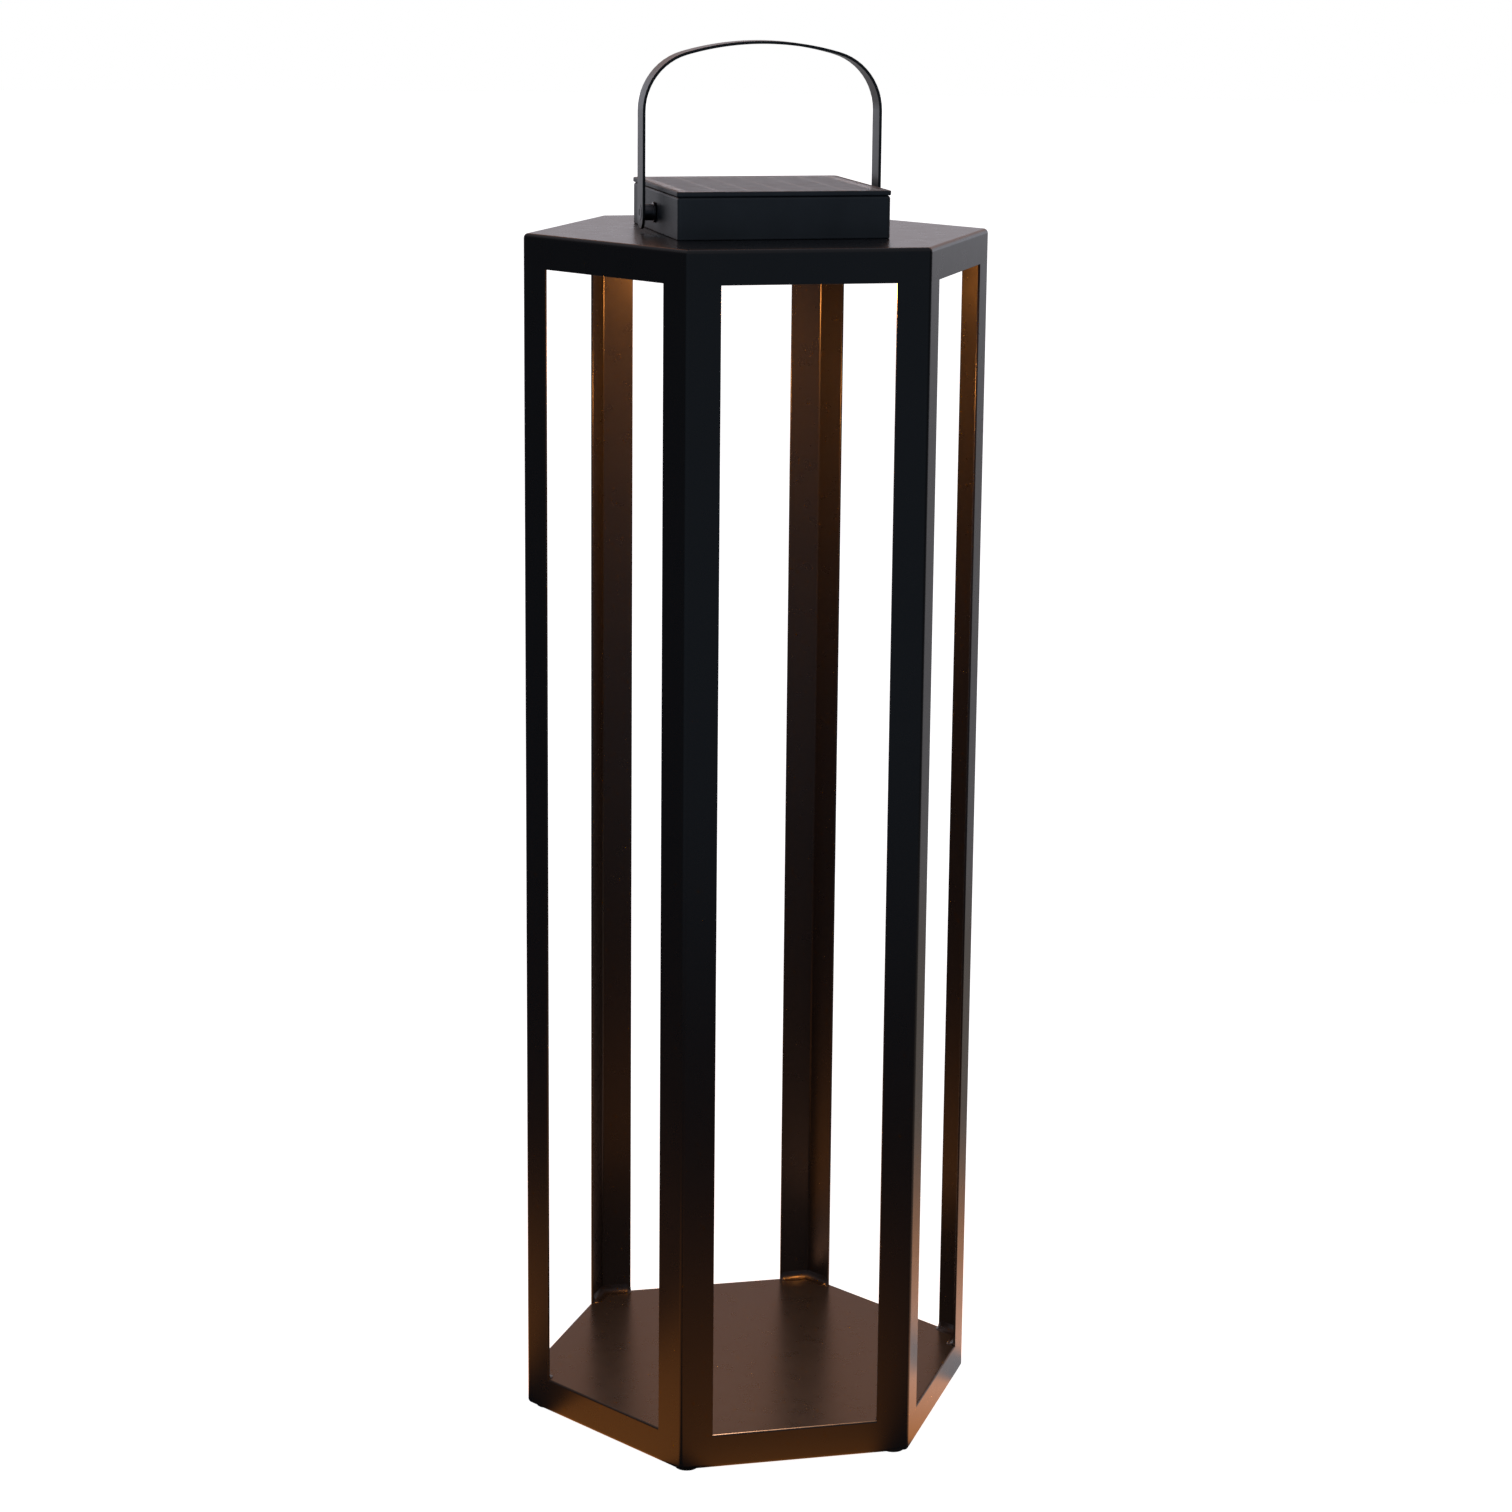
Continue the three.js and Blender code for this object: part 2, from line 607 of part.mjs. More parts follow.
// The cover plate under the cup, with the lens window and the button's hole.
function lensBezel() {
  return cut(
    rod(LIGHT_RADIUS, LENS_BEZEL_BOTTOM, CUP_BOTTOM, 0, 0, 36),
    rod(LENS_WINDOW_RADIUS, LENS_BEZEL_BOTTOM - OVERCUT, CUP_BOTTOM + OVERCUT, 0, 0, 32),
    rod(BUTTON_RADIUS + FIT_GAP, LENS_BEZEL_BOTTOM - OVERCUT, CUP_BOTTOM + OVERCUT, 0, SWITCH_Y),
  );
}

function switchBody() {
  const half = SWITCH.side / 2;
  const stemRoom = BUTTON_STEM_RADIUS + FIT_GAP;
  return cut(
    block(-half, half, SWITCH_Y - half, SWITCH_Y + half, SWITCH_BOTTOM, LIGHT_TOP),
    rod(stemRoom, SWITCH_BOTTOM - OVERCUT, SWITCH_BOTTOM + SWITCH.socket, 0, SWITCH_Y, 12),
  );
}

// A domed cap on a stem. The cap stays clear of the switch body by more than the travel.
function switchButton() {
  const capTop = SWITCH_BOTTOM - BUTTON_TRAVEL - BUTTON_SPARE;
  const stemTop = SWITCH_BOTTOM + BUTTON_STEM_REACH;
  const bottom = LENS_BEZEL_BOTTOM - BUTTON_PROUD;
  return turned(
    [
      [0, bottom],
      [BUTTON_CROWN_RADIUS, bottom + BUTTON_CROWN[0]],
      [BUTTON_RADIUS, bottom + BUTTON_CROWN[1]],
      [BUTTON_RADIUS, capTop],
      [BUTTON_STEM_RADIUS, capTop],
      [BUTTON_STEM_RADIUS, stemTop],
      [0, stemTop],
    ],
    0,
    SWITCH_Y,
    20,
  );
}

// ---- leads ----

// A sheathed two-core lead along a smooth curve through the points given.
function lead(points) {
  const section = new THREE.Shape().absarc(0, 0, LEAD_RADIUS, 0, 2 * Math.PI, false);
  return new THREE.ExtrudeGeometry(section, {
    steps: 4 * (points.length - 1),
    curveSegments: 4,
    extrudePath: new THREE.CatmullRomCurve3(points.map((point) => new THREE.Vector3(...point))),
  });
}

function addLeads() {
  const boardTop = MODULE_INSIDE + BOARD.lift + BOARD.thickness;
  const onBoard = boardTop + LEAD_LIFT;
  const boardEdge = BOARD.y + BOARD.depth / 2;
  const onLight = LED_BOARD_TOP + LED_BOARD_DROP / 2;
  const panelUnderside = BEZEL_TOP - GLASS_THICKNESS - CELL_THICKNESS - BACKSHEET_THICKNESS;
  const solar = [
    [-14, -8, panelUnderside - FIT_GAP],
    [-14, -8, panelUnderside - 4],
    [-14, -13, onBoard + 1.5],
    [-14, -20, onBoard],
  ];
  const battery = [
    [20, BATTERY_Y[0] - BATTERY_RADIUS - HOLDER_WALL - 0.6, MODULE_INSIDE + 5],
    [20, 3, MODULE_INSIDE + 5.5],
    [20, -7, onBoard + 0.5],
    [20, -16, onBoard],
  ];
  const light = [
    [-4, -17, onBoard],
    [-4, boardEdge + 1, onBoard],
    [-4, -5, boardTop - 2],
    [-3, -2, CAP_TOP],
    [-3, 2, onLight + 1.5],
    [-3, 5, onLight],
  ];
  const button = [
    [5, -17, onBoard],
    [5, boardEdge + 1, onBoard],
    [4, -4, boardTop - 2],
    [3, -2, CAP_TOP],
    [3, -5, onLight + 1.5],
    [3, -10, onLight],
    [3, -20, onLight],
    [3, SWITCH_Y + SWITCH.side / 2 + 0.6, onLight],
  ];
  add("solar_lead", lead(solar), leadBlack);
  add("battery_lead", lead(battery), leadBlack);
  add("light_lead", lead(light), leadBlack);
  add("switch_lead", lead(button), leadBlack);
}

// ---- handle ----

// The outline of the bail in its own plane, offset outwards from the inner face by the thickness.
function bailOutline(offset) {
  const leg = HANDLE_HALF_SPAN + offset;
  const crown = HANDLE_CROWN_RADIUS - HANDLE_THICKNESS + offset;
  const shoulder = HANDLE_SHOULDER_RADIUS - HANDLE_THICKNESS + offset;
  const crownCentre = CAP_TOP + HANDLE_RISE - HANDLE_CROWN_RADIUS;
  const shoulderX = leg - shoulder;
  const shoulderZ = crownCentre + Math.sqrt((crown - shoulder) ** 2 - shoulderX ** 2);
  const turn = Math.atan2(shoulderZ - crownCentre, shoulderX);
  const foot = PIVOT_Z - PIVOT_TO_END - OVERCUT;
  return { leg, crown, shoulder, crownCentre, shoulderX, shoulderZ, turn, foot };
}

function bailFace() {
  const outer = bailOutline(HANDLE_THICKNESS);
  const inner = bailOutline(0);
  const shape = new THREE.Shape();
  shape.moveTo(outer.leg, outer.foot);
  shape.absarc(outer.shoulderX, outer.shoulderZ, outer.shoulder, 0, outer.turn, false);
  shape.absarc(0, outer.crownCentre, outer.crown, outer.turn, Math.PI - outer.turn, false);
  shape.absarc(-outer.shoulderX, outer.shoulderZ, outer.shoulder, Math.PI - outer.turn, Math.PI, false);
  shape.lineTo(-outer.leg, outer.foot);
  shape.lineTo(-inner.leg, inner.foot);
  shape.absarc(-inner.shoulderX, inner.shoulderZ, inner.shoulder, Math.PI, Math.PI - inner.turn, true);
  shape.absarc(0, inner.crownCentre, inner.crown, Math.PI - inner.turn, inner.turn, true);
  shape.absarc(inner.shoulderX, inner.shoulderZ, inner.shoulder, inner.turn, 0, true);
  shape.lineTo(inner.leg, inner.foot);
  shape.closePath();
  return shape;
}

// The side view of the strip: a long bar with a round lower end about the pivot.
function bailSide() {
  const half = HANDLE_WIDTH / 2;
  const endCentre = PIVOT_Z - PIVOT_TO_END + half;
  const shape = new THREE.Shape();
  shape.moveTo(half, CAP_TOP + HANDLE_RISE + OVERCUT);
  shape.lineTo(-half, CAP_TOP + HANDLE_RISE + OVERCUT);
  shape.absarc(0, endCentre, half, Math.PI, 2 * Math.PI, false);
  shape.closePath();
  return shape;
}

// A countersunk hole of one side, from the strip's inner face out past its outer face.
function countersink(side) {
  const slope = (PIVOT_HEAD - PIVOT_SHANK) / HANDLE_THICKNESS;
  const narrow = PIVOT_SHANK + FIT_GAP - slope * OVERCUT;
  const wide = PIVOT_HEAD + FIT_GAP + slope * OVERCUT;
  const length = HANDLE_THICKNESS + 2 * OVERCUT;
  const cone = new THREE.CylinderGeometry(wide, narrow, length, 16);
  const middle = HANDLE_HALF_SPAN + HANDLE_THICKNESS / 2;
  return cone.rotateZ((-side * Math.PI) / 2).translate(side * middle, 0, PIVOT_Z);
}

function handleStrip() {
  const bent = prism(bailFace(), -HANDLE_WIDTH / 2, HANDLE_WIDTH / 2, 8).rotateX(Math.PI / 2);
  const reach = HANDLE_HALF_SPAN + 2 * HANDLE_THICKNESS;
  const side = prism(bailSide(), -reach, reach, 10).rotateX(Math.PI / 2).rotateZ(Math.PI / 2);
  const holes = pivotRod(PIVOT_SHANK + FIT_GAP, -reach, reach);
  return cut(common(bent, side), holes, countersink(-1), countersink(1));
}

// The pivot hardware of one side: -1 is the -X side, and 1 is the +X side.
function addPivot(side, index) {
  const wall = MODULE_SIDE / 2;
  const inside = wall - MODULE_WALL;
  const legInner = HANDLE_HALF_SPAN - FIT_GAP;
  const legOuter = HANDLE_HALF_SPAN + HANDLE_THICKNESS;
  const nutInner = inside - NUT_HEIGHT;
  const spacer = cut(
    pivotRod(SPACER_RADIUS, side * wall, side * legInner, 24),
    pivotRod(PIVOT_SHANK + FIT_GAP, side * (wall - OVERCUT), side * (legInner + OVERCUT)),
  );
  const screw = turned([
    [0, nutInner - OVERCUT],
    [PIVOT_SHANK, nutInner - OVERCUT],
    [PIVOT_SHANK, HANDLE_HALF_SPAN],
    [PIVOT_HEAD, legOuter],
    [0, legOuter],
  ]);
  screw.rotateY((side * Math.PI) / 2).translate(0, 0, PIVOT_Z);
  const nut = cut(
    pivotRod(NUT_RADIUS, side * nutInner, side * inside, CORNERS),
    pivotRod(PIVOT_SHANK + FIT_GAP, side * (nutInner - OVERCUT), side * (inside + OVERCUT)),
  );
  add(`handle_spacer_${index}`, spacer, zincSteel);
  add(`handle_screw_${index}`, screw, zincSteel);
  add(`handle_nut_${index}`, nut, zincSteel);
}

// ---- assembly ----

add("top_cap", topCap(), powderCoat);
addPosts();
add("base_pan", basePan(), powderCoat);
addFeet();

add("module_housing", moduleHousing(), blackPlastic);
add("module_gasket", gasket(), rubber);
add("module_bezel", moduleBezel(), blackPlastic);
addPanel();
addModuleScrews();
addBattery();
addControlBoard();

add("light_housing", lightHousing(), blackPlastic);
addLeds();
add("reflector", reflector(), whitePlastic);
add("diffuser_lens", diffuserLens(), frosted);
add("lens_bezel", lensBezel(), blackPlastic);
add("switch_body", switchBody(), blackPlastic);
add("switch_button", switchButton(), rubber);
addLeads();

add("handle_strip", handleStrip(), powderCoat);
addPivot(-1, 1);
addPivot(1, 2);

export default lantern;
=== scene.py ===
# Solar lantern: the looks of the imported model, in metres, with +Z up, in the model's own frame.
import math

import bmesh
import bpy
from mathutils import Matrix, Vector


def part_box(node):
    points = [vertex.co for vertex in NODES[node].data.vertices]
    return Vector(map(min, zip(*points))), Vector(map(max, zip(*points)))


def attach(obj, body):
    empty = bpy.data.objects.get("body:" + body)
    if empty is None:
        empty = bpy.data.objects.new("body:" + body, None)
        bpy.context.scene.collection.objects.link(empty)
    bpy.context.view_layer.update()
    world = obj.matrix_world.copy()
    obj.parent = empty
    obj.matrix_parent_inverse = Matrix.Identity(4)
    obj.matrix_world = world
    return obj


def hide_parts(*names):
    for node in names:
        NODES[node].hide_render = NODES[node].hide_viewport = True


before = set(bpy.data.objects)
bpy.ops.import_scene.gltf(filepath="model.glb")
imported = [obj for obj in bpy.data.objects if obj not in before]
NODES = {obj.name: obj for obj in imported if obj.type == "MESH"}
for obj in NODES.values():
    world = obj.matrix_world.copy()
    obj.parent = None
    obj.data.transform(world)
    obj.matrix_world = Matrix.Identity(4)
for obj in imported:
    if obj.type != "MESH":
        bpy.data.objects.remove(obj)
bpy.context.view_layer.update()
MM = 0.001
SIDES = 6

# ---- places and sizes, read from the frame ----

pan_low, pan_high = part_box("base_pan")
cap_low, cap_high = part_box("top_cap")
housing_low, housing_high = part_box("module_housing")
bezel_low, bezel_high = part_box("module_bezel")
glass_low, glass_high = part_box("solar_glass")
strip_low, strip_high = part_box("handle_strip")
lens_low, lens_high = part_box("diffuser_lens")
screw_low, screw_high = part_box("handle_screw_2")
spacer_low, spacer_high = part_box("handle_spacer_2")

HALF_TURN = math.pi / SIDES
APOTHEM = pan_high.y
HEX_RADIUS = APOTHEM / math.cos(HALF_TURN)
SHEET = 1.0 * MM
BEND = 2.0 * MM  # outer radius of a fold
PRESSED = 0.9 * MM  # the tighter fold round the base's plate
CREASE = 0.15 * MM  # inner radius of that fold
EDGE = 0.22 * MM  # rounding of a cut sheet edge
POST_FLANGE = 14.0 * MM
BASE_RETURN = 13.0 * MM
WELD_LEG = 3.5 * MM
STRIP_THICKNESS = 1.2 * MM
FINGER_PITCH = 1.9 * MM
FINGER_WIDTH = 0.16 * MM
CROWN_RADIUS = 120.0 * MM  # of the bail's outer face
SHOULDER_RADIUS = 25.0 * MM
LAMP_DROP = 4.0 * MM  # from the diffuser down to the lamps
PIVOT_Z = (screw_low.z + screw_high.z) / 2


# ---- mesh helpers ----

def make_object(name, bm, material, smooth=True):
    """Links a new object, shaded smooth with weighted normals so that flats stay flat."""
    bmesh.ops.recalc_face_normals(bm, faces=bm.faces)
    mesh = bpy.data.meshes.new(name)
    bm.to_mesh(mesh)
    bm.free()
    piece = bpy.data.objects.new(name, mesh)
    bpy.context.scene.collection.objects.link(piece)
    piece.data.materials.append(material)
    if smooth:
        for polygon in mesh.polygons:
            polygon.use_smooth = True
        weighted = piece.modifiers.new("weighted", "WEIGHTED_NORMAL")
        weighted.keep_sharp = True
        weighted.weight = 90
    return piece


def stand_for(piece, body, slot, *nodes):
    """The piece rides on a body and replaces the CAD nodes named. The slot is not used."""
    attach(piece, body)
    if nodes:
        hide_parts(*nodes)
    return piece


def ngon_ring(sides, apothem, corner, z, steps=6):
    """A level ring of a regular polygon with round corners. A square's sides face X and Y."""
    half = math.pi / sides
    first = half if sides == 4 else 0.0
    centre = (apothem - corner) / math.cos(half)
    ring = []
    for side in range(sides):
        middle = first + 2 * half * side
        for step in range(steps + 1):
            angle = middle - half + 2 * half * step / steps
            x = centre * math.cos(middle) + corner * math.cos(angle)
            y = centre * math.sin(middle) + corner * math.sin(angle)
            ring.append((x, y, z))
    return ring


def circle_ring(radius, z, count=48, centre=(0.0, 0.0)):
    return [
        (
            centre[0] + radius * math.cos(2 * math.pi * k / count),
            centre[1] + radius * math.sin(2 * math.pi * k / count),
            z,
        )
        for k in range(count)
    ]


def loft(rings, closed=False):
    """Joins rings of equal length with quads. An open loft gets a face at each end."""
    bm = bmesh.new()
    loops = [[bm.verts.new(point) for point in ring] for ring in rings]
    pairs = list(zip(loops, loops[1:]))
    if closed:
        pairs.append((loops[-1], loops[0]))
    for lower, upper in pairs:
        for k in range(len(lower)):
            j = (k + 1) % len(lower)
            bm.faces.new((lower[k], lower[j], upper[j], upper[k]))
    if not closed:
        bm.faces.new(loops[0])
        bm.faces.new(list(reversed(loops[-1])))
    return bm


def fillet(previous, corner, following, radius, steps=5):
    """Points of the arc that rounds one corner of a 2D outline."""
    p, c, f = Vector(previous), Vector(corner), Vector(following)
    back, ahead = (p - c).normalized(), (f - c).normalized()
    angle = back.angle(ahead)
    if radius <= 0 or angle > math.pi - 1e-3:
        return [tuple(c)]
    reach = radius / math.tan(angle / 2)
    centre = c + (back + ahead).normalized() * radius / math.sin(angle / 2)
    start, end = c + back * reach - centre, c + ahead * reach - centre
    sweep = start.angle_signed(end)
    points = []
    for step in range(steps + 1):
        turn = Matrix.Rotation(-sweep * step / steps, 2)
        points.append(tuple(centre + turn @ start))
    return points


def rounded(corners, steps=5):
    """A closed 2D outline from (x, y, radius) corners."""
    outline = []
    count = len(corners)
    for k, (x, y, radius) in enumerate(corners):
        before, after = corners[k - 1], corners[(k + 1) % count]
        outline += fillet(before[:2], (x, y), after[:2], radius, steps)
    return outline


def turned(profile, count=48):
    """A solid of revolution about Z from (radius, z) points, its ends closed by flat faces."""
    return loft([circle_ring(max(radius, 1e-5), z, count) for radius, z in profile])


def arc_profile(centre, radius, start, end, steps=5):
    """(r, z) points of an arc, its angles in degrees."""
    points = []
    for step in range(steps + 1):
        angle = math.radians(start + (end - start) * step / steps)
        points.append((centre[0] + radius * math.cos(angle), centre[1] + radius * math.sin(angle)))
    return points


def lofted_polygon(sides, profile, closed=False, steps=6):
    """Lofts (apothem, corner radius, z) stations of a rounded polygon."""
    return loft([ngon_ring(sides, a, max(c, 0.05 * MM), z, steps) for a, c, z in profile], closed)


def hex_stations(profile, outer_apothem, outer_corner):
    """Turns (apothem, z) points into stations whose corner radius keeps the fold concentric."""
    return [(a, max(outer_corner - (outer_apothem - a), 0.1 * MM), z) for a, z in profile]


# ---- materials ----

def new_material(name):
    material = bpy.data.materials.new(name)
    material.use_nodes = True
    nodes = material.node_tree.nodes
    shader = nodes["Principled BSDF"]
    return material, nodes, material.node_tree.links, shader


def noise(nodes, links, scale, detail=3.0, roughness=0.55):
    coordinates = nodes.new("ShaderNodeTexCoord")
    texture = nodes.new("ShaderNodeTexNoise")
    texture.inputs["Scale"].default_value = scale
    texture.inputs["Detail"].default_value = detail
    texture.inputs["Roughness"].default_value = roughness
    links.new(coordinates.outputs["Object"], texture.inputs["Vector"])
    return texture


def remap(nodes, links, source, low, high, out_low, out_high):
    node = nodes.new("ShaderNodeMapRange")
    node.inputs["From Min"].default_value = low
    node.inputs["From Max"].default_value = high
    node.inputs["To Min"].default_value = out_low
    node.inputs["To Max"].default_value = out_high
    links.new(source, node.inputs["Value"])
    return node.outputs["Result"]


def blend(nodes, links, factor, first, second):
    """Mixes two colours. Each is a constant or a node's output."""
    node = nodes.new("ShaderNodeMix")
    node.data_type = "RGBA"
    links.new(factor, node.inputs["Factor"])
    for key, colour in (("A", first), ("B", second)):
        if isinstance(colour, tuple):
            node.inputs[key].default_value = (*colour, 1.0)
        else:
            links.new(colour, node.inputs[key])
    return node.outputs["Result"]


def bump(nodes, links, shader, height, strength, distance):
    node = nodes.new("ShaderNodeBump")
    node.inputs["Strength"].default_value = strength
    node.inputs["Distance"].default_value = distance
    links.new(height, node.inputs["Height"])
    links.new(node.outputs["Normal"], shader.inputs["Normal"])


def powder_coat(name="powder_coat", rough=0.28):
    """Satin anthracite powder coat: fine orange peel, faint clouding and uneven gloss."""
    dark = (0.0112, 0.0115, 0.0128)
    light = (0.0128, 0.0131, 0.0144)
    material, nodes, links, shader = new_material(name)
    clouds = noise(nodes, links, 38.0, 4.0)
    tint = remap(nodes, links, clouds.outputs["Fac"], 0.3, 0.7, 0.0, 1.0)
    links.new(blend(nodes, links, tint, dark, light), shader.inputs["Base Color"])
    gloss = noise(nodes, links, 150.0, 3.0)
    uneven = remap(nodes, links, gloss.outputs["Fac"], 0.3, 0.7, rough - 0.01, rough + 0.012)
    links.new(uneven, shader.inputs["Roughness"])
    peel = noise(nodes, links, 480.0, 1.0)
    bump(nodes, links, shader, peel.outputs["Fac"], 0.05, 0.02 * MM)
    shader.inputs["IOR"].default_value = 1.5
    return material


def moulded_plastic(name, colour, rough=0.45, grain_scale=2600.0):
    """Moulded plastic with a fine spark-eroded grain."""
    material, nodes, links, shader = new_material(name)
    clouds = noise(nodes, links, 60.0, 2.0)
    tint = remap(nodes, links, clouds.outputs["Fac"], 0.3, 0.7, 0.0, 1.0)
    brighter = tuple(min(1.0, channel * 1.25 + 0.001) for channel in colour)
    links.new(blend(nodes, links, tint, colour, brighter), shader.inputs["Base Color"])
    grain = noise(nodes, links, grain_scale, 2.0)
    uneven = remap(nodes, links, grain.outputs["Fac"], 0.3, 0.7, rough - 0.05, rough + 0.06)
    links.new(uneven, shader.inputs["Roughness"])
    bump(nodes, links, shader, grain.outputs["Fac"], 0.15, 0.08 * MM)
    return material


def metal(name, colour, rough=0.3):
    """Plated steel with fine turning marks."""
    material, nodes, links, shader = new_material(name)
    shader.inputs["Metallic"].default_value = 1.0
    marks = noise(nodes, links, 900.0, 4.0)
    tint = remap(nodes, links, marks.outputs["Fac"], 0.3, 0.7, 0.0, 1.0)
    darker = tuple(channel * 0.7 for channel in colour)
    links.new(blend(nodes, links, tint, darker, colour), shader.inputs["Base Color"])
    uneven = remap(nodes, links, marks.outputs["Fac"], 0.3, 0.7, rough - 0.08, rough + 0.10)
    links.new(uneven, shader.inputs["Roughness"])
    bump(nodes, links, shader, marks.outputs["Fac"], 0.08, 0.05 * MM)
    return material


def panel_glass():
    """Clear glass with an anti-reflective finish and a faint dust film."""
    material, nodes, links, shader = new_material("panel_glass")
    shader.inputs["Base Color"].default_value = (0.9, 0.94, 0.96, 1.0)
    shader.inputs["Transmission Weight"].default_value = 1.0
    shader.inputs["IOR"].default_value = 1.15
    dust = noise(nodes, links, 240.0, 5.0)
    film = remap(nodes, links, dust.outputs["Fac"], 0.35, 0.75, 0.29, 0.34)
    links.new(film, shader.inputs["Roughness"])
    return material


def stripes(nodes, links, axis, pitch, width):
    """A mask of thin lines across one object axis, 1 on a line."""
    coordinates = nodes.new("ShaderNodeTexCoord")
    parts = nodes.new("ShaderNodeSeparateXYZ")
    links.new(coordinates.outputs["Object"], parts.inputs["Vector"])
    shifted = nodes.new("ShaderNodeMath")
    shifted.operation = "ADD"
    shifted.inputs[1].default_value = 1.0
    links.new(parts.outputs[axis], shifted.inputs[0])
    place = nodes.new("ShaderNodeMath")
    place.operation = "MODULO"
    place.inputs[1].default_value = pitch
    links.new(shifted.outputs["Value"], place.inputs[0])
    line = nodes.new("ShaderNodeMath")
    line.operation = "LESS_THAN"
    line.inputs[1].default_value = width
    links.new(place.outputs["Value"], line.inputs[0])
    return line.outputs["Value"]


def silicon():
    """Monocrystalline cell: dark blue with thin silver fingers."""
    material, nodes, links, shader = new_material("silicon")
    tone = noise(nodes, links, 45.0, 2.0)
    tint = remap(nodes, links, tone.outputs["Fac"], 0.3, 0.7, 0.0, 1.0)
    base = blend(nodes, links, tint, (0.006, 0.010, 0.030), (0.010, 0.016, 0.048))
    fingers = stripes(nodes, links, "Y", FINGER_PITCH, FINGER_WIDTH)
    links.new(blend(nodes, links, fingers, base, (0.42, 0.43, 0.45)), shader.inputs["Base Color"])
    shader.inputs["Roughness"].default_value = 0.3
    return material


def frosted_lens(glow):
    """Frosted diffuser that glows warm, a little brighter in the middle."""
    material, nodes, links, shader = new_material("frosted")
    shader.inputs["Base Color"].default_value = (0.95, 0.80, 0.58, 1.0)
    shader.inputs["Roughness"].default_value = 0.5
    coordinates = nodes.new("ShaderNodeTexCoord")
    length = nodes.new("ShaderNodeVectorMath")
    length.operation = "LENGTH"
    flat = nodes.new("ShaderNodeVectorMath")
    flat.operation = "MULTIPLY"
    flat.inputs[1].default_value = (1.0, 1.0, 0.0)
    links.new(coordinates.outputs["Object"], flat.inputs[0])
    links.new(flat.outputs["Vector"], length.inputs[0])
    fade = remap(nodes, links, length.outputs["Value"], 0.0, lens_high.x, 1.0, 0.55)
    colour = blend(nodes, links, fade, (1.0, 0.42, 0.10), (1.0, 0.66, 0.30))
    links.new(colour, shader.inputs["Emission Color"])
    shader.inputs["Emission Strength"].default_value = glow
    material.cycles.emission_sampling = "NONE"
    return material


COAT = powder_coat()
HANDLE_COAT = powder_coat("handle_coat", rough=0.31)
PLASTIC = moulded_plastic("module_plastic", (0.044, 0.051, 0.057), 0.42)
RUBBER = moulded_plastic("rubber", (0.008, 0.008, 0.008), 0.85, 1800.0)
GLASS = panel_glass()
SILICON = silicon()
WHITE = moulded_plastic("white_plastic", (0.74, 0.73, 0.70), 0.5)
BACKING = moulded_plastic("backing", (0.02, 0.02, 0.024), 0.5)
ZINC = metal("blackened_steel", (0.16, 0.16, 0.17), 0.34)
NICKEL = metal("nickel", (0.62, 0.60, 0.55), 0.25)
CIRCUIT = moulded_plastic("circuit", (0.02, 0.12, 0.05), 0.4)
EPOXY = moulded_plastic("epoxy", (0.012, 0.012, 0.013), 0.5)
FROSTED = frosted_lens(6.0)
PHOSPHOR = moulded_plastic("phosphor", (0.90, 0.60, 0.10), 0.4)
SHEATH = moulded_plastic("lead_sheath", (0.012, 0.012, 0.012), 0.55)
WRAP = moulded_plastic("cell_wrap", (0.03, 0.18, 0.09), 0.35)


# ---- cage ----

def make_cap():
    """The folded pan of the cap, one closed sheet with soft bends and a rounded lower edge."""
    low, high = cap_low.z, cap_high.z
    inner = APOTHEM - SHEET
    ceiling = high - SHEET
    inside = arc_profile((inner - BEND + SHEET, ceiling - BEND + SHEET), BEND - SHEET, 90, 0)
    edge_in = arc_profile((inner + EDGE, low + EDGE), EDGE, 180, 270, 3)
    edge_out = arc_profile((APOTHEM - EDGE, low + EDGE), EDGE, 270, 360, 3)
    outside = arc_profile((APOTHEM - BEND, high - BEND), BEND, 0, 90, 7)
    profile = inside + edge_in + edge_out + outside
    bm = lofted_polygon(SIDES, hex_stations(profile, APOTHEM, BEND))
    return stand_for(make_object("cap_shell", bm, COAT), "cage", "powder_coat", "top_cap")


def post_outline():
    """Section of a folded corner strip at the +X corner."""
    normal = Vector((math.cos(HALF_TURN), math.sin(HALF_TURN)))
    along = Vector((-normal.y, normal.x))
    tip = Vector((HEX_RADIUS, 0.0))
    outer = tip + along * POST_FLANGE
    inner = outer - normal * SHEET
    inner_tip = tip - Vector((SHEET / math.cos(HALF_TURN), 0.0))
    return rounded(
        [
            (tip.x, 0.0, BEND),
            (outer.x, outer.y, EDGE),
            (inner.x, inner.y, EDGE),
            (inner_tip.x, 0.0, BEND - SHEET),
            (inner.x, -inner.y, EDGE),
            (outer.x, -outer.y, EDGE),
        ],
        6,
    )


def make_posts():
    """Folded corner strips, each with its top in the cap's edge and its foot coped over the base's fold."""
    outline = post_outline()
    inner_tip = HEX_RADIUS - SHEET / math.cos(HALF_TURN)
    for corner in range(SIDES):
        node = f"corner_post_{corner + 1}"
        low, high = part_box(node)
        foot = []
        for x, y in outline:
            depth = (HEX_RADIUS - x) * math.cos(HALF_TURN) - abs(y) * math.sin(HALF_TURN)
            share = min(max(depth / SHEET, 0.0), 1.0)
            foot.append((x, y, low.z - PRESSED * (1.0 - share)))
        bm = loft([foot, [(x, y, high.z + EDGE) for x, y in outline]])
        bmesh.ops.rotate(bm, verts=bm.verts, matrix=Matrix.Rotation(corner * 2 * HALF_TURN, 3, "Z"))
        stand_for(make_object(f"post_{corner + 1}", bm, COAT), "cage", "powder_coat", node)
        make_weld(corner, inner_tip)


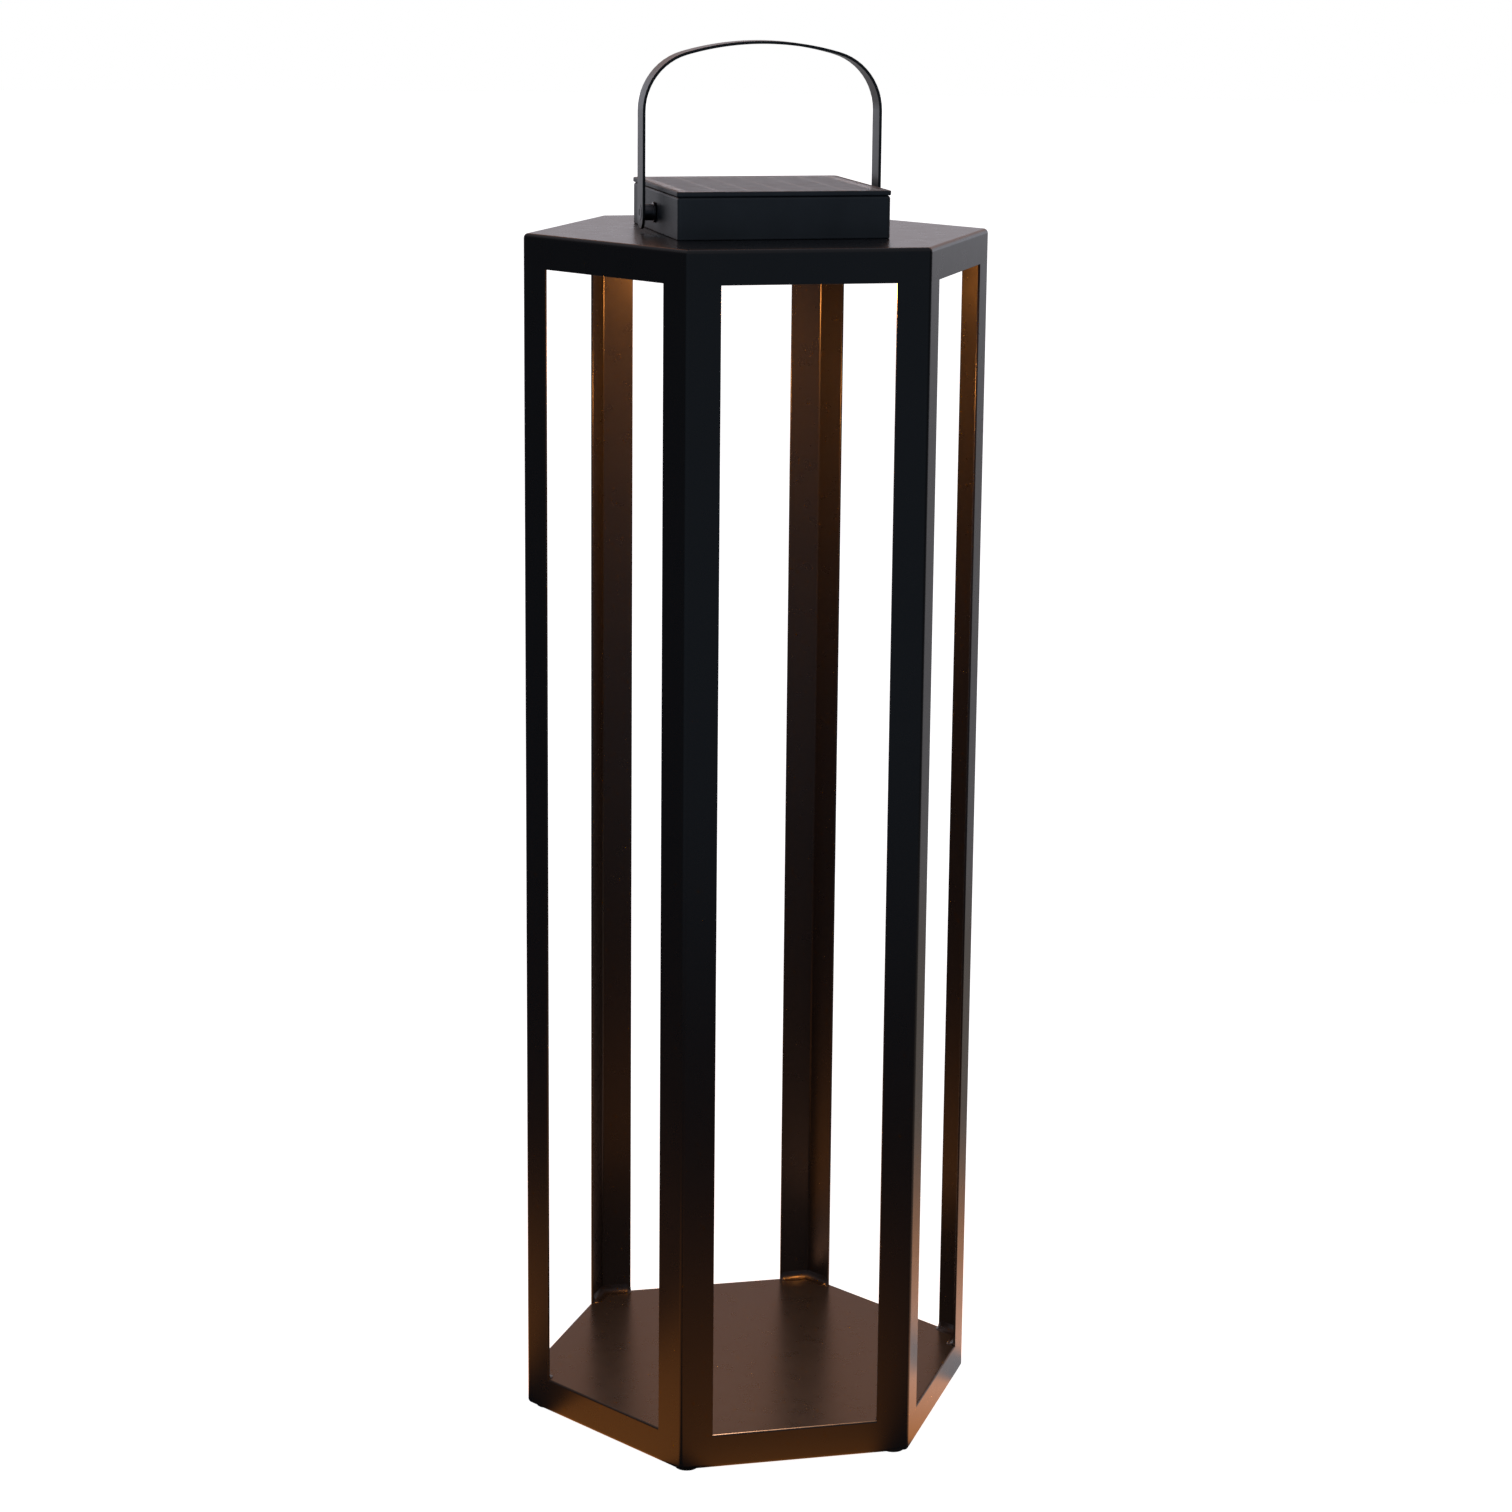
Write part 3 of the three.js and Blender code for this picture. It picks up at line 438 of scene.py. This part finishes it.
def make_weld(corner, inner_tip):
    """The small concave weld along both inner faces of a post, on the base's plate."""
    sunk = 0.3 * MM
    end = POST_FLANGE - 0.5 * MM
    taper = 2.0 * MM
    thin = 0.45
    normal = Vector((math.cos(HALF_TURN), math.sin(HALF_TURN)))
    along = Vector((-normal.y, normal.x))
    tip = Vector((inner_tip, 0.0))
    upper, lower = tip + along * end, tip + Vector((along.x, -along.y)) * end
    stations = [(upper, -normal, thin), (upper - along * taper, -normal, 1.0)]
    stations.append((tip, Vector((-1.0 / math.cos(HALF_TURN), 0.0)), 1.0))
    mirrored = Vector((-normal.x, normal.y))
    back = Vector((along.x, -along.y))
    stations += [(lower - back * taper, mirrored, 1.0), (lower, mirrored, thin)]
    rings = []
    for base, inwards, size in stations:
        reach = WELD_LEG * size
        section = [(-sunk, -sunk), (reach, -sunk)]
        section += arc_profile((reach, reach), reach, 270, 180, 6)
        section.append((-sunk, reach))
        rings.append([(base.x + inwards.x * u, base.y + inwards.y * u, pan_high.z + v) for u, v in section])
    bm = loft(rings)
    bmesh.ops.rotate(bm, verts=bm.verts, matrix=Matrix.Rotation(corner * 2 * HALF_TURN, 3, "Z"))
    stand_for(make_object(f"foot_weld_{corner + 1}", bm, COAT), "cage", "powder_coat")


def make_base():
    """The base pan: plate, sides and a return flange along the ground, one closed sheet with soft bends."""
    low, high = pan_low.z, pan_high.z
    bend_in = BEND - SHEET
    inner = APOTHEM - BEND
    lip = APOTHEM - BASE_RETURN
    profile = (
        arc_profile((APOTHEM - SHEET - CREASE, high - SHEET - CREASE), CREASE, 90, 0, 3)
        + arc_profile((inner, low + BEND), bend_in, 0, -90, 5)
        + arc_profile((lip + EDGE, low + SHEET - EDGE), EDGE, 90, 180, 3)
        + arc_profile((lip + EDGE, low + EDGE), EDGE, 180, 270, 3)
        + arc_profile((inner, low + BEND), BEND, 270, 360, 7)
        + arc_profile((APOTHEM - PRESSED, high - PRESSED), PRESSED, 0, 90, 7)
    )
    bm = lofted_polygon(SIDES, hex_stations(profile, APOTHEM, BEND))
    return stand_for(make_object("base_shell", bm, COAT), "cage", "powder_coat", "base_pan")


def make_feet():
    for corner in range(SIDES):
        node = f"foot_{corner + 1}"
        low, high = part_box(node)
        radius = (high.x - low.x) / 2
        soft = 0.5 * MM
        profile = arc_profile((radius - soft, low.z + soft), soft, -90, 0, 4) + [(radius, high.z)]
        bm = turned(profile, 32)
        bmesh.ops.translate(bm, verts=bm.verts, vec=((low.x + high.x) / 2, (low.y + high.y) / 2, 0))
        stand_for(make_object(f"rubber_foot_{corner + 1}", bm, RUBBER), "cage", "rubber", node)


# ---- solar module ----

def make_housing():
    """The moulded box with a soft top edge. Its inside is open up to the lid."""
    half = housing_high.x
    low, high = housing_low.z, housing_high.z
    corner = 1.6 * MM
    wall = 2.0 * MM
    floor = low + 2.0 * MM
    top_soft = 1.3 * MM
    foot_soft = 0.5 * MM
    foot = arc_profile((half - foot_soft, low + foot_soft), foot_soft, -90, 0, 3)
    top = arc_profile((half - top_soft, high - top_soft), top_soft, 0, 90, 6)
    profile = [(half - corner, corner, low)]
    profile += [(r, corner - (half - r), z) for r, z in foot]
    profile += [(r, corner, z) for r, z in top]
    profile += [(half - wall, 0.6 * MM, high), (half - wall, 0.6 * MM, floor)]
    bm = lofted_polygon(4, profile)
    return stand_for(make_object("housing_shell", bm, PLASTIC), "cage", "module_plastic", "module_housing")


def make_lid():
    """The thin lid frame around the panel, with soft outer edges and a small inner chamfer."""
    half = bezel_high.x
    low, high = bezel_low.z, bezel_high.z
    window = glass_high.x + 0.15 * MM
    ledge = window - 1.1 * MM
    soft = 0.45 * MM
    corner = 1.8 * MM
    profile = [(ledge, 0.8 * MM, low)]
    profile += [(r, corner, z) for r, z in arc_profile((half - soft, low + soft), soft, -90, 0, 3)]
    profile += [(r, corner, z) for r, z in arc_profile((half - soft, high - soft), soft, 0, 90, 4)]
    profile += [(window + 0.3 * MM, 1.0 * MM, high), (window, 0.9 * MM, high - 0.3 * MM)]
    profile += [(window, 0.9 * MM, glass_low.z), (ledge, 0.8 * MM, glass_low.z)]
    bm = lofted_polygon(4, profile, closed=True)
    return stand_for(make_object("lid_frame", bm, PLASTIC), "cage", "module_plastic", "module_bezel")


def make_glass():
    half = glass_high.x
    low, high = glass_low.z, glass_high.z
    soft = 0.2 * MM
    profile = [(half, 0.8 * MM, low)]
    profile += [(r, 0.8 * MM, z) for r, z in arc_profile((half - soft, high - soft), soft, 0, 90, 3)]
    bm = lofted_polygon(4, profile)
    return stand_for(make_object("panel_cover", bm, GLASS), "cage", "panel_glass", "solar_glass")


# ---- handle ----

def bail_path():
    """Stations (x, z, normal x, normal z, half width) along the strip, from the +X end to the -X end."""
    leg = strip_high.x - STRIP_THICKNESS / 2
    crown = CROWN_RADIUS - STRIP_THICKNESS / 2
    shoulder = SHOULDER_RADIUS - STRIP_THICKNESS / 2
    crown_z = strip_high.z - CROWN_RADIUS
    shoulder_x = leg - shoulder
    shoulder_z = crown_z + math.sqrt((crown - shoulder) ** 2 - shoulder_x**2)
    turn = math.atan2(shoulder_z - crown_z, shoulder_x)
    half_width = (strip_high.y - strip_low.y) / 2
    stations = []
    for step in range(13):  # the round lower end
        drop = half_width * math.cos(math.radians(90 * step / 12))
        width = half_width * math.sin(math.radians(90 * step / 12))
        z = strip_low.z + half_width - drop
        stations.append((leg, z, 1.0, 0.0, max(width, 0.35 * MM)))
    for step in range(13):
        angle = turn * step / 12
        x = shoulder_x + shoulder * math.cos(angle)
        z = shoulder_z + shoulder * math.sin(angle)
        stations.append((x, z, math.cos(angle), math.sin(angle), half_width))
    for step in range(1, 25):
        angle = turn + (math.pi / 2 - turn) * step / 24
        x = crown * math.cos(angle)
        z = crown_z + crown * math.sin(angle)
        stations.append((x, z, math.cos(angle), math.sin(angle), half_width))
    mirrored = [(-x, z, -nx, nz, w) for x, z, nx, nz, w in reversed(stations[:-1])]
    return stations + mirrored


def make_handle():
    """The bail: a flat strip with rounded edges and round ends, swept along its bend."""
    soft = 0.3 * MM
    t = STRIP_THICKNESS / 2
    rings = []
    for x, z, nx, nz, width in bail_path():
        corners = [(width, -t, soft), (width, t, soft), (-width, t, soft), (-width, -t, soft)]
        rings.append([(x + nx * off, y, z + nz * off) for y, off in rounded(corners, 3)])
    piece = make_object("bail", loft(rings), HANDLE_COAT)
    return stand_for(piece, "handle", "powder_coat", "handle_strip")


def about_x(bm, side, x):
    """Turns a solid made along +Z so that it points along side * X from x, at the pivot's height."""
    turn = Matrix.Rotation(side * math.pi / 2, 4, "Y")
    bmesh.ops.transform(bm, matrix=Matrix.Translation((side * x, 0, PIVOT_Z)) @ turn, verts=bm.verts)
    return bm


def make_pivots():
    """Stand-off with a small flange against the module, and a countersunk screw with a socket."""
    length = spacer_high.x - spacer_low.x
    radius = spacer_high.z - PIVOT_Z
    neck = radius * 0.8
    flange = 1.0 * MM
    head = screw_high.z - PIVOT_Z
    face = screw_high.x - spacer_low.x
    shank = 2.0 * MM
    socket = 1.3 * MM
    proud = 0.15 * MM
    collar = (
        [(radius, 0.0)]
        + arc_profile((radius - 0.2 * MM, flange - 0.2 * MM), 0.2 * MM, 0, 90, 3)
        + arc_profile((neck + 0.3 * MM, flange + 0.3 * MM), 0.3 * MM, 270, 180, 3)
        + arc_profile((neck - 0.2 * MM, length - 0.2 * MM), 0.2 * MM, 0, 90, 3)
    )
    screw = [(shank, 0.0), (shank, length), (head, face)]
    screw += arc_profile((head - proud, face), proud, 0, 90, 3)
    screw += [(socket + proud, face + proud), (socket, face), (socket, face - 1.0 * MM)]
    for index, side in ((1, -1), (2, 1)):
        spacer = make_object(f"stand_off_{index}", about_x(turned(collar, 40), side, spacer_low.x), ZINC)
        stand_for(spacer, "cage", "zinc_steel", f"handle_spacer_{index}")
        piece = make_object(f"pivot_screw_{index}", about_x(turned(screw, 36), side, spacer_low.x), ZINC)
        stand_for(piece, "cage", "zinc_steel", f"handle_screw_{index}")


# ---- light under the cap ----

def make_lens():
    """The diffuser, its dome smoother than the flat-sided solid."""
    low, high = lens_low.z, lens_high.z
    rim = lens_high.x
    dome = rim - 2.3 * MM
    rim_low = high - 1.0 * MM
    profile = []
    for angle in range(2, 91, 8):
        turn = math.radians(angle)
        profile.append((dome * math.sin(turn), rim_low - (rim_low - low) * math.cos(turn)))
    profile += [(rim, rim_low), (rim, high)]
    piece = make_object("lens_dome", turned(profile, 56), FROSTED)
    return stand_for(piece, "cage", "frosted", "diffuser_lens")


FINISHES = {
    "light_housing": PLASTIC,
    "lens_bezel": PLASTIC,
    "module_gasket": RUBBER,
    "switch_button": RUBBER,
    "switch_body": PLASTIC,
    "battery_holder": PLASTIC,
    "battery_cell": WRAP,
    "battery_spring": NICKEL,
    "solar_backsheet": BACKING,
    "solar_cell": SILICON,
    "module_screw": ZINC,
    "handle_nut": ZINC,
    "control_board": CIRCUIT,
    "board_chip": EPOXY,
    "board_inductor": EPOXY,
    "led_board": WHITE,
    "reflector": WHITE,
    "led_": PHOSPHOR,
    "solar_lead": SHEATH,
    "battery_lead": SHEATH,
    "light_lead": SHEATH,
    "switch_lead": SHEATH,
}


def finish_cad_nodes():
    """Materials for the CAD nodes that stay, and softened edges on those that show from below."""
    for name, node in NODES.items():
        match = next((FINISHES[key] for key in FINISHES if name.startswith(key)), COAT)
        node.data.materials.clear()
        node.data.materials.append(match)
    for name in ("light_housing", "lens_bezel"):
        bevel = NODES[name].modifiers.new("soft_edges", "BEVEL")
        bevel.width = 0.4 * MM
        bevel.segments = 2
        bevel.limit_method = "ANGLE"
        bevel.angle_limit = math.radians(40)
        bevel.harden_normals = True


# ---- stage ----

def fade(nodes, links, source, low, high):
    """A smooth share, from 0 at the low value of the source to 1 at the high one."""
    node = nodes.new("ShaderNodeMapRange")
    node.interpolation_type = "SMOOTHSTEP"
    node.inputs["From Min"].default_value = low
    node.inputs["From Max"].default_value = high
    links.new(source, node.inputs["Value"])
    return node.outputs["Result"]


BLACK = (0.0, 0.0, 0.0)
SKY = {
    "dark": (0.033, 0.036, 0.044),
    "front": (0.135, 0.17, 0.215),
    "horizon": (0.82, 0.83, 0.92),
    "warm": (0.60, 0.215, 0.066),
    "zenith": (0.24, 0.24, 0.27),
    "below": (0.34, 0.33, 0.345),
}
SKY_AZIMUTH = 20.0  # of the bright side, to the right of +Y

# Where one part of the sky fades into the next: a direction's height, or its share along the bright side.
GROUND_LINE = (-0.12, -0.02)
WARM_BAND = (0.21, 0.31)
ZENITH_BAND = (0.43, 0.55)
DARK_TO_FRONT = (-0.9, -0.2)
BRIGHT_SIDE = (0.1, 0.95)

# Where the light painted on the ground fades, in metres.
DAYLIGHT_FADE = (0.11, 0.26)
DAYLIGHT_EDGE = (-0.03, 0.10)
DAYLIGHT_SIDE = (0.8, 0.6, 0.0)
POOL_FADE = (0.47, 0.05)
POOL_INNER = (0.080, 0.087)
POOL_FRONT = (-0.085, -0.125)
PAINTED_POST_SHADOW = (0.45, 0.92)  # painted shadow of the posts, on the cosine that peaks at the six posts
PAINTED_GROUND_DAYLIGHT = ((0.60, 0.56, 0.58), (0.26, 0.23, 0.20))  # painted daylight beside the lantern, and away from it

# The LEDs' light in watts, and its colours.
LED_COLOUR = (1.0, 0.33, 0.06)
GLINT_COLOUR = (1.0, 0.55, 0.33)
LED_SIDE = 0.38
LED_FACE = 0.55
LED_BEAM = 5.0
LED_GLINT = 75.0
LED_POOL = 1.3  # radiance painted on the ground in the middle of the pool of light
FRONT_SHARE = 0.62  # of the painted pool's light that is left in front of the lantern


def make_world():
    """Soft daylight from a pale side behind the lantern. The camera itself sees plain white."""
    world = bpy.data.worlds.new("studio")
    world.use_nodes = True
    bpy.context.scene.world = world
    nodes, links = world.node_tree.nodes, world.node_tree.links
    background = nodes["Background"]
    output = nodes["World Output"]
    coordinates = nodes.new("ShaderNodeTexCoord")
    parts = nodes.new("ShaderNodeSeparateXYZ")
    links.new(coordinates.outputs["Generated"], parts.inputs["Vector"])
    height = parts.outputs["Z"]
    facing = nodes.new("ShaderNodeVectorMath")
    facing.operation = "DOT_PRODUCT"
    azimuth = math.radians(SKY_AZIMUTH)
    facing.inputs[1].default_value = (math.sin(azimuth), math.cos(azimuth), 0.0)
    links.new(coordinates.outputs["Generated"], facing.inputs[0])
    towards = facing.outputs["Value"]
    bright = blend(nodes, links, fade(nodes, links, height, *GROUND_LINE), SKY["below"], SKY["horizon"])
    bright = blend(nodes, links, fade(nodes, links, height, *WARM_BAND), bright, SKY["warm"])
    front = blend(nodes, links, fade(nodes, links, towards, *DARK_TO_FRONT), SKY["front"], SKY["dark"])
    around = blend(nodes, links, fade(nodes, links, towards, *BRIGHT_SIDE), front, bright)
    over = blend(nodes, links, fade(nodes, links, height, *ZENITH_BAND), around, SKY["zenith"])
    links.new(over, background.inputs["Color"])
    white = nodes.new("ShaderNodeBackground")
    white.inputs["Color"].default_value = (1.0, 1.0, 1.0, 1.0)
    path = nodes.new("ShaderNodeLightPath")
    choose = nodes.new("ShaderNodeMixShader")
    links.new(path.outputs["Is Camera Ray"], choose.inputs["Fac"])
    links.new(background.outputs["Background"], choose.inputs[1])
    links.new(white.outputs["Background"], choose.inputs[2])
    links.new(choose.outputs["Shader"], output.inputs["Surface"])


def disc(name, radius, z, material):
    bm = bmesh.new()
    bmesh.ops.create_circle(bm, cap_ends=True, segments=96, radius=radius)
    bmesh.ops.translate(bm, verts=bm.verts, vec=(0, 0, z))
    piece = make_object(name, bm, material, smooth=False)
    return piece


def painted_post_shadow(nodes, links, parts):
    """The share of painted shadow that stands in for what the corner posts throw outwards over the ground.
    """
    source = None
    for operation, value in (("ARCTAN2", None), ("MULTIPLY", float(SIDES)), ("COSINE", None)):
        node = nodes.new("ShaderNodeMath")
        node.operation = operation
        if source is None:
            links.new(parts.outputs["Y"], node.inputs[0])
            links.new(parts.outputs["X"], node.inputs[1])
        else:
            links.new(source, node.inputs[0])
        if value is not None:
            node.inputs[1].default_value = value
        source = node.outputs["Value"]
    return fade(nodes, links, source, *PAINTED_POST_SHADOW)


def make_floor():
    """The plain white floor, which only the camera sees."""
    material, _, _, shader = new_material("pale_floor")
    shader.inputs["Base Color"].default_value = (0.8, 0.8, 0.8, 1.0)
    shader.inputs["Roughness"].default_value = 0.8
    shader.inputs["Specular IOR Level"].default_value = 0.1
    shader.inputs["Emission Color"].default_value = (1.0, 1.0, 1.0, 1.0)
    shader.inputs["Emission Strength"].default_value = 1.0
    material.cycles.emission_sampling = "NONE"
    floor = disc("floor", 12.0, 0.0, material)
    floor.visible_diffuse = False
    floor.visible_glossy = False
    floor.visible_transmission = False
    floor.visible_shadow = False


def painted_daylight_on_ground(nodes, links, place, distance):
    """Painted daylight on the side behind and to the right, brightest beside the lantern."""
    side = nodes.new("ShaderNodeVectorMath")
    side.operation = "DOT_PRODUCT"
    side.inputs[1].default_value = DAYLIGHT_SIDE
    links.new(place, side.inputs[0])
    daylight = blend(nodes, links, fade(nodes, links, distance, *DAYLIGHT_FADE), *PAINTED_GROUND_DAYLIGHT)
    share = fade(nodes, links, side.outputs["Value"], *DAYLIGHT_EDGE)
    return blend(nodes, links, share, BLACK, daylight)


def painted_pool_on_ground(nodes, links, place, distance):
    """A painted pool of the LEDs' warm light round the base, with painted shadows of the posts in it."""
    parts = nodes.new("ShaderNodeSeparateXYZ")
    links.new(place, parts.inputs["Vector"])
    ahead = fade(nodes, links, parts.outputs["Y"], *POOL_FRONT)
    behind = tuple(channel * LED_POOL for channel in LED_COLOUR)
    before = tuple(channel * FRONT_SHARE for channel in behind)
    pool = blend(nodes, links, ahead, behind, before)
    pool = blend(nodes, links, fade(nodes, links, distance, *POOL_FADE), BLACK, pool)
    pool = blend(nodes, links, fade(nodes, links, distance, *POOL_INNER), BLACK, pool)
    return blend(nodes, links, painted_post_shadow(nodes, links, parts), pool, BLACK)


def make_ground():
    """The ground that the metal mirrors, with its light painted on as emission: a painted warm pool,
    painted shadows of the posts and painted daylight. It lies just under the floor, and the camera doesn't
    see it.
    """
    material, nodes, links, shader = new_material("painted_light_ground")
    shader.inputs["Base Color"].default_value = (0.10, 0.10, 0.10, 1.0)
    shader.inputs["Roughness"].default_value = 0.8
    coordinates = nodes.new("ShaderNodeTexCoord")
    place = coordinates.outputs["Object"]
    length = nodes.new("ShaderNodeVectorMath")
    length.operation = "LENGTH"
    links.new(place, length.inputs[0])
    distance = length.outputs["Value"]
    total = nodes.new("ShaderNodeMix")
    total.data_type = "RGBA"
    total.blend_type = "ADD"
    total.clamp_result = False
    total.inputs["Factor"].default_value = 1.0
    links.new(painted_pool_on_ground(nodes, links, place, distance), total.inputs["A"])
    links.new(painted_daylight_on_ground(nodes, links, place, distance), total.inputs["B"])
    links.new(total.outputs["Result"], shader.inputs["Emission Color"])
    shader.inputs["Emission Strength"].default_value = 1.0
    material.cycles.emission_sampling = "NONE"
    ground = disc("ground", 0.9, -0.5 * MM, material)
    ground.visible_camera = False


def make_lamp(name, kind, energy, place, radius, angle=0.0, colour=LED_COLOUR):
    """A warm lamp. A spot points down and fades smoothly to the edge of its cone."""
    data = bpy.data.lights.new(name, kind)
    data.color = colour
    data.energy = energy
    if kind != "AREA":
        data.shadow_soft_size = radius
    if kind == "SPOT":
        data.spot_size = math.radians(angle)
        data.spot_blend = 1.0
    if kind == "AREA":
        data.shape = "DISK"
        data.size = 2 * radius
    lamp = bpy.data.objects.new(name, data)
    lamp.location = place
    bpy.context.scene.collection.objects.link(lamp)
    return lamp


def light_only(lamp, piece):
    """Limits a lamp to one piece."""
    lit = bpy.data.collections.new(f"lit_by_{lamp.name}")
    lit.objects.link(piece)
    lamp.light_linking.receiver_collection = lit


def make_lights(base):
    """The LEDs' light: a faint part to the sides, a beam down, and the glint on the base's fold."""
    height = lens_low.z - LAMP_DROP
    make_lamp("led_side", "POINT", LED_SIDE, (0.0, 0.0, height), 3.5 * MM)
    make_lamp("led_face", "AREA", LED_FACE, (0.0, 0.0, height), 24.0 * MM)
    make_lamp("led_beam", "SPOT", LED_BEAM, (0.0, 0.0, height), 20.0 * MM, 34.0)
    glint = make_lamp("led_glint", "SPOT", LED_GLINT, (0.0, 0.0, height), 20.0 * MM, 40.0, GLINT_COLOUR)
    glint.visible_diffuse = False
    light_only(glint, base)


# ---- camera ----

# The camera's place in metres, its turn in degrees and its focal length in units of 1/1512 of the frame.
CAMERA_PLACE = (-0.36599, -1.51021, 0.64550)
CAMERA_TURN = {"yaw": 13.655, "pitch": 12.871, "roll": 0.578}
CAMERA_FOCAL = 3696.9 / 1512.0


def make_camera():
    """A camera with no shift, turned right of +Y by yaw, tipped down by pitch and rolled a little."""
    data = bpy.data.cameras.new("camera")
    data.sensor_fit = "HORIZONTAL"
    data.sensor_width = 36.0
    data.lens = CAMERA_FOCAL * data.sensor_width
    data.clip_start = 0.05
    data.clip_end = 60.0
    camera = bpy.data.objects.new("camera", data)
    bpy.context.scene.collection.objects.link(camera)
    yaw, pitch, roll = (math.radians(CAMERA_TURN[key]) for key in ("yaw", "pitch", "roll"))
    ahead = Vector((math.sin(yaw) * math.cos(pitch), math.cos(yaw) * math.cos(pitch), -math.sin(pitch)))
    right = Vector((math.cos(yaw), -math.sin(yaw), 0.0))
    up = right.cross(ahead)
    rolled_right = right * math.cos(roll) + up * math.sin(roll)
    rolled_up = up * math.cos(roll) - right * math.sin(roll)
    turn = Matrix((rolled_right, rolled_up, -ahead)).transposed().to_4x4()
    camera.matrix_world = Matrix.Translation(CAMERA_PLACE) @ turn
    bpy.context.scene.camera = camera


make_camera()
finish_cad_nodes()
make_cap()
make_posts()
base = make_base()
make_feet()
make_housing()
make_lid()
make_glass()
make_handle()
make_pivots()
make_lens()
make_world()
make_floor()
make_ground()
make_lights(base)
bpy.context.scene.view_settings.view_transform = "Standard"
